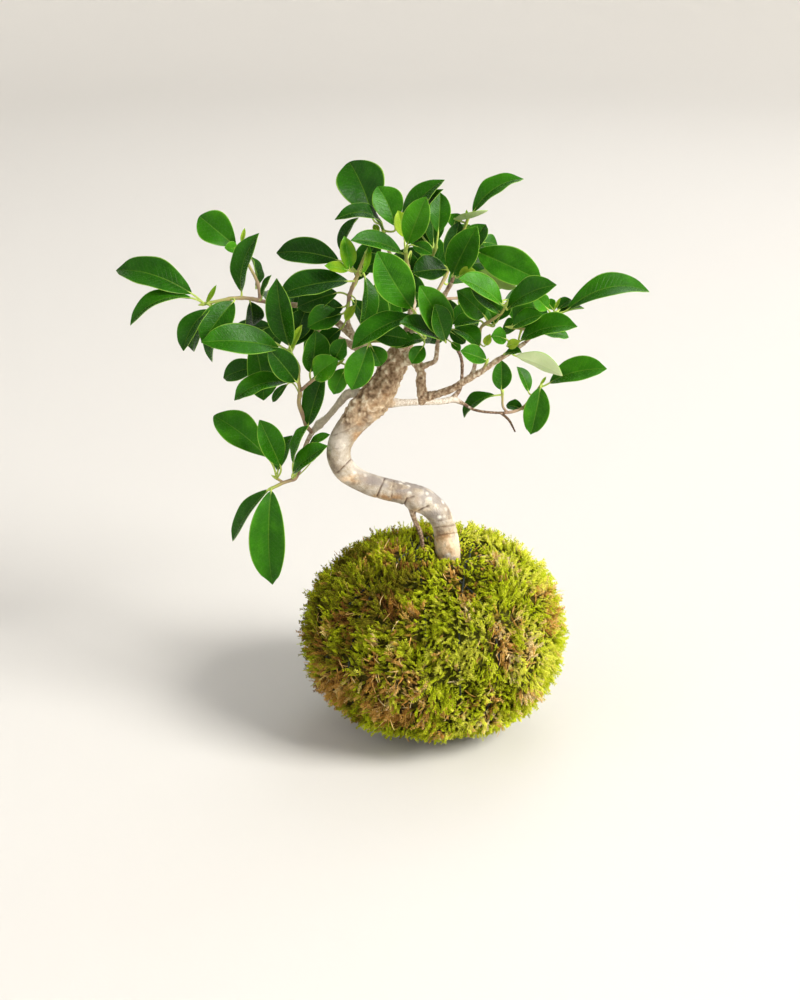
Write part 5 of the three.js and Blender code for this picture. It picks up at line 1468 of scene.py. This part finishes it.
def moss_material(settings):
    """Sheet moss, living: yellow-green feathery tips over olive stems that darken to brownish black at the
    root and on the felt, partly the older stems' own colour and partly painted shade between the sprigs;
    straw and rust where it has died. Matt, and a little see-through at the tips."""
    material, tree, place = new_material("living_sheet_moss")
    tip, tone, dead = (
        add_node(tree, "Attribute", attribute_name=name, result="Fac") for name in ("tip", "tone", "dead")
    )
    # Flecks about 2 mm across.
    fleck = add_node(tree, "TexNoise", place, Scale=1 / (2.0 * MM), Detail=3.0)
    lively = stirred(tree, tone, fleck, 0.3)
    # Sprigs darken from tip to root: partly the older stems' own colour, partly painted shade between the
    # sprigs.
    rising = add_node(tree, "MapRange", tip, From_Max=0.6, interpolation_type="SMOOTHSTEP")
    olives_and_root_shade = [(0.0, "#2A2406"), (0.5, settings.deep), (1.0, "#727C0C")]
    low = add_node(tree, "ValToRGB", lively, stops=olives_and_root_shade)
    yellow_greens = [
        (0.0, "#7E7410"), (0.3, "#AEB412"), (0.55, settings.live), (0.8, "#E4EA3E"), (1.0, settings.bright),
    ]
    high = add_node(tree, "ValToRGB", lively, stops=yellow_greens)
    living = add_node(tree, "Mix", rising, low, high, data_type="RGBA")
    straws = [(0.0, "#80501C"), (0.3, "#C0883A"), (0.55, settings.straw), (0.8, "#F8CE80"), (1.0, "#FCE4AC")]
    dry = add_node(tree, "ValToRGB", lively, stops=straws)
    # Dead sprigs darken at the root too, partly painted shade.
    withered = add_node(tree, "Mix", rising, "#4C3818", dry, data_type="RGBA")
    colour = add_node(tree, "Mix", dead, living, withered, data_type="RGBA")
    finish_material(
        tree, colour, 0.8, fleck, 0.2,
        Subsurface_Weight=0.12, Subsurface_Radius=(0.6, 1.0, 0.1), Subsurface_Scale=0.6 * MM, IOR=1.3,
    )
    return material


def thread_material(settings):
    """Two-ply polyester thread, twisted and waxed: near-black blue-green, a soft gleam along each ply."""
    material, tree, place = new_material("waxed_two_ply_thread")
    ply = add_node(tree, "Attribute", attribute_name="ply", result="Fac")
    # Fibres are too fine to show, so they are drawn 0.25 mm wide.
    fibre = add_node(tree, "TexNoise", place, Scale=1 / (0.25 * MM), Detail=2.0)
    worn = add_node(tree, "Math", ply, 0.04, fibre, operation="MULTIPLY_ADD")
    blacks = [(0.3, "#0B0F0D"), (0.55, settings.thread), (0.8, "#2E3833")]
    finish_material(tree, add_node(tree, "ValToRGB", worn, stops=blacks), 0.55, fibre, 0.12)
    return material


def soil_material():
    """Potting soil, pressed by hand: dark crumbs with paler grit."""
    material, tree, place = new_material("pressed_potting_soil")
    # Crumbs about 2.5 mm across.
    crumb = add_node(tree, "TexNoise", place, Scale=1 / (2.5 * MM), Detail=6.0)
    browns = [(0.3, "#1B120B"), (0.55, "#3B2A1C"), (0.75, "#7A6248")]
    finish_material(tree, add_node(tree, "ValToRGB", crumb, stops=browns), 0.95, crumb, 1.2)
    return material


def paper_material(colour):
    """Studio background paper: matt and pale, with a faint tooth about 2 mm across."""
    material, tree, place = new_material("studio_paper")
    tooth = add_node(tree, "TexNoise", place, Scale=1 / (2 * MM), Detail=2.0)
    finish_material(tree, rgba(colour), 0.9, tooth, 0.03)
    return material


# ---------------------------------------------------------------- settings
def colour_setting(name, description, colour):
    """A colour that a user can change; its default is given as sRGB hex."""
    return bpy.props.FloatVectorProperty(
        name=name, description=description, subtype="COLOR", size=3, min=0, max=1, default=linear(colour)
    )


class KokedamaMoss(bpy.types.PropertyGroup):
    """The moss."""

    sprigs: bpy.props.IntProperty(
        name="Sprigs", description="Sprigs in each piece of the moss", default=2500, min=100, max=2800
    )
    # Deep is partly the old stems' colour and partly painted shade between the sprigs.
    deep: colour_setting("Deep", "Colour between the sprigs", "#525406")
    live: colour_setting("Live", "Colour of most sprigs", "#D0E016")
    bright: colour_setting("Bright", "Colour of the youngest tips", "#F2F25A")
    straw: colour_setting("Straw", "Colour of dead moss", "#EAB05C")


class KokedamaThread(bpy.types.PropertyGroup):
    """The binding thread."""

    thread: colour_setting("Thread", "Colour of the thread", "#161E1A")


class KokedamaWood(bpy.types.PropertyGroup):
    """The trunk and limbs."""

    bark: colour_setting("Bark", "Colour of most bark", "#AEA08C")
    pale: colour_setting("Pale", "Colour of its paler blotches", "#C8BEB0")
    shade: colour_setting("Shade", "Colour of its darker blotches", "#877869")
    # The crease colour is partly painted shade in the creases.
    crease: colour_setting("Crease", "Colour in creases and cracks", "#5A4230")
    # This is also the colour of the painted warm shade along the trunk's undersides.
    flaked_and_warm_shade: colour_setting("Flaked", "Colour where the skin has flaked", "#B78C5E")


class KokedamaLeaves(bpy.types.PropertyGroup):
    """The leaves and their stalks."""

    thickness: bpy.props.FloatProperty(
        name="Thickness", description="Thickness of a blade", default=0.45 * MM, min=0.1 * MM, max=1 * MM,
        subtype="DISTANCE", unit="LENGTH",
    )
    # The darkest tones also paint leaves that lie in shade.
    dark: colour_setting("Dark", "Colour of the darkest leaves", "#123206")
    mature: colour_setting("Mature", "Colour of mature leaves", "#2A610A")
    young: colour_setting("Young", "Colour of the youngest leaves", "#A2B83C")
    underside: colour_setting("Underside", "Colour of the underside", "#7E9A4C")
    # On the margin the rib colour is partly painted rim light.
    rib: colour_setting("Rib", "Colour of ribs, veins and margins", "#8FB844")
    stalk: colour_setting("Stalk", "Colour of leaf stalks and buds", "#B4C860")


class KokedamaStage(bpy.types.PropertyGroup):
    """Floor, light and camera."""

    paper: colour_setting("Paper", "Colour of floor and background", "#DBD8D3")
    daylight: bpy.props.FloatProperty(
        name="Daylight", description="Power of the large soft light", default=205, min=0,
        subtype="POWER", unit="POWER",
    )
    ambient: bpy.props.FloatProperty(
        name="Ambient", description="Strength of the light from all round", default=0.36, min=0,
        subtype="FACTOR",
    )


# ---------------------------------------------------------------- operators
class KOKEDAMA_OT_soil(bpy.types.Operator):
    """Make the ball of soil that the moss is wrapped round"""

    bl_idname = "kokedama.soil"
    bl_label = "Soil"

    def execute(self, context):
        add_piece("soil", soil_body(), soil_material(), "soil", "soil_ball")
        return {"FINISHED"}


class KOKEDAMA_OT_moss(bpy.types.Operator):
    """Make the felt of moss, its feathery sprigs in several pieces, and the dead blades caught in it"""

    bl_idname = "kokedama.moss"
    bl_label = "Moss"

    def execute(self, context):
        settings = context.scene.kokedama_moss
        material = moss_material(settings)
        add_piece("moss_felt", moss_felt(), material, "moss", "moss_wrap")
        for seed in range(1, SPRIG_PIECES + 1):
            add_piece(f"moss_sprigs_{seed}", moss_sprigs(settings.sprigs, seed), material, "moss")
        add_piece("dead_blades", dead_blades(), material, "moss")
        return {"FINISHED"}


class KOKEDAMA_OT_thread(bpy.types.Operator):
    """Make the two-ply thread that binds the moss"""

    bl_idname = "kokedama.thread"
    bl_label = "Thread"

    def execute(self, context):
        material = thread_material(context.scene.kokedama_thread)
        add_piece("thread", thread_body(), material, "thread", "binding_thread")
        return {"FINISHED"}


class KOKEDAMA_OT_wood(bpy.types.Operator):
    """Make the trunk with its limbs, creases and cracks"""

    bl_idname = "kokedama.wood"
    bl_label = "Trunk and limbs"

    def execute(self, context):
        paths = [smooth_path(rows, LIMB_STEPS) for rows in WOOD.values()]
        tubes = [closed_skin(tube(path, radius[:, None], LIMB_SIDES)) for path, radius in paths]
        mesh, points, normals = remeshed("wood_tubes", joined(tubes))
        radius, length, angle, pale, rough = wood_place(points)
        relief, values = bark_relief(points, normals, radius, length, angle, rough)
        points = (points + normals * relief[:, None]) * MM
        mesh.vertices.foreach_set("co", points.astype(np.float32).ravel())
        mesh.update()
        values.update({"girth": radius, "pale": pale})
        wood = bpy.data.objects.new("trunk_and_limbs", mesh)
        dress(wood, values, bark_material(context.scene.kokedama_wood), "bark", "trunk")
        return {"FINISHED"}


class KOKEDAMA_OT_shoots(bpy.types.Operator):
    """Make each shoot's leaves, and its stems with leaf stalks and buds"""

    bl_idname = "kokedama.shoots"
    bl_label = "Shoots"

    def execute(self, context):
        settings = context.scene.kokedama_leaves
        leaf, stem = leaf_material(settings), stem_material(settings)
        rng = np.random.default_rng(7)
        for name, shoot in SHOOTS.items():
            blades = [blade(row, settings.thickness / MM, rng) for row in shoot["leaves"]]
            add_piece(name + "_leaves", joined(blades), leaf, "leaf", name)
            add_piece(name + "_stems", stems_body(shoot), stem, "leaf", name)
        return {"FINISHED"}


class KOKEDAMA_OT_stage(bpy.types.Operator):
    """Make the floor that curves up all round, the soft daylight and the camera"""

    bl_idname = "kokedama.stage"
    bl_label = "Stage"

    def execute(self, context):
        settings = context.scene.kokedama_stage
        daylight = settings.daylight
        floor = bpy.data.objects.new("floor", floor_mesh())
        floor.data.materials.append(paper_material(settings.paper))
        add_to_stage(floor)
        add_light("daylight", (2.5, -1.4, 2.0), size=1.6, power=daylight, colour="#FFFDF8")
        add_light("sky_behind", (0.5, 1.5, 1.5), size=1.2, power=0.04 * daylight, colour="#F4F8FF")
        add_light("room", (-1.5, -1.0, 0.9), size=1.4, power=0.02 * daylight, colour="#F2F4FF")
        world = bpy.data.worlds.new("soft_room")
        world.use_nodes = True
        background = world.node_tree.nodes["Background"]
        background.inputs["Color"].default_value = rgba("#F6F7FA")
        background.inputs["Strength"].default_value = settings.ambient
        context.scene.world = world
        camera = bpy.data.cameras.new("camera")
        camera.lens = LENS
        camera.sensor_width = SENSOR
        camera.clip_start, camera.clip_end = 0.05, 20
        viewer = bpy.data.objects.new("camera", camera)
        viewer.location = EYE * MM
        viewer.rotation_euler = (math.radians(90 - EYE_PITCH), 0, 0)
        add_to_stage(viewer)
        context.scene.camera = viewer
        context.scene.view_settings.view_transform = "Standard"
        return {"FINISHED"}


def add_to_stage(thing):
    """Links something that isn't part of the plant."""
    bpy.context.scene.collection.objects.link(thing)


def add_light(name, place, size, power, colour):
    """A square soft light that faces the leafy middle of the plant."""
    light = bpy.data.lights.new(name, "AREA")
    light.size = size
    light.energy = power
    light.color = linear(colour)
    lamp = bpy.data.objects.new(name, light)
    lamp.location = place
    towards = LIT_PLACE - place
    tilt = math.acos(-towards[2] / np.linalg.norm(towards))
    lamp.rotation_euler = (tilt, 0, math.atan2(towards[1], towards[0]) - math.pi / 2)
    add_to_stage(lamp)


def floor_mesh():
    """A dish: flat to 2.1 m, then a quarter circle of 1.1 m, then upright; the profile turned about Z."""
    flat, curve, wall, sides = 2.1, 1.1, 3.0, 96
    bend = np.radians(np.linspace(0, 90, 19))
    radius = np.concatenate([[0.25, 1.0, flat - 0.1], flat + curve * np.sin(bend), [flat + curve]])[:, None]
    height = np.concatenate([[0.0, 0.0, 0.0], curve * (1 - np.cos(bend)), [wall]])[:, None]
    turn = 2 * np.pi * np.arange(sides) / sides
    x, y = radius * np.cos(turn), radius * np.sin(turn)
    rings = np.stack([x, y, np.broadcast_to(height, x.shape)], axis=-1)
    here = np.arange(radius.size * sides).reshape(-1, sides)
    beside = np.roll(here, -1, axis=1)
    quads = np.stack([here[:-1], here[1:], beside[1:], beside[:-1]], axis=-1).reshape(-1, 4)
    mesh = bpy.data.meshes.new("floor")
    mesh.from_pydata(rings.reshape(-1, 3).tolist(), [], quads.tolist() + [here[0].tolist()])
    mesh.polygons.foreach_set("use_smooth", np.ones(len(mesh.polygons), bool))
    return mesh


class KOKEDAMA_PT_panel(bpy.types.Panel):
    """Lists what a user can change, and makes each piece"""

    bl_label = "Kokedama"
    bl_space_type = "VIEW_3D"
    bl_region_type = "UI"
    bl_category = "Kokedama"

    def draw(self, context):
        for operator, settings in STEPS:
            box = self.layout.box()
            if settings:
                group = getattr(context.scene, settings)
                for name in group.__annotations__:
                    box.prop(group, name)
            box.operator(operator.bl_idname)


STEPS = [
    (KOKEDAMA_OT_soil, None),
    (KOKEDAMA_OT_moss, "kokedama_moss"),
    (KOKEDAMA_OT_thread, "kokedama_thread"),
    (KOKEDAMA_OT_wood, "kokedama_wood"),
    (KOKEDAMA_OT_shoots, "kokedama_leaves"),
    (KOKEDAMA_OT_stage, "kokedama_stage"),
]
SETTINGS = {
    "kokedama_moss": KokedamaMoss,
    "kokedama_thread": KokedamaThread,
    "kokedama_wood": KokedamaWood,
    "kokedama_leaves": KokedamaLeaves,
    "kokedama_stage": KokedamaStage,
}
CLASSES = (*SETTINGS.values(), *(operator for operator, _ in STEPS), KOKEDAMA_PT_panel)


def register():
    for each in CLASSES:
        bpy.utils.register_class(each)
    for name, group in SETTINGS.items():
        setattr(bpy.types.Scene, name, bpy.props.PointerProperty(type=group))


def unregister():
    for name in SETTINGS:
        delattr(bpy.types.Scene, name)
    for each in reversed(CLASSES):
        bpy.utils.unregister_class(each)


def main():
    """Makes every piece and the stage."""
    register()
    for operator, _ in STEPS:
        getattr(bpy.ops.kokedama, operator.bl_idname.split(".")[1])()


if __name__ == "__main__":
    main()
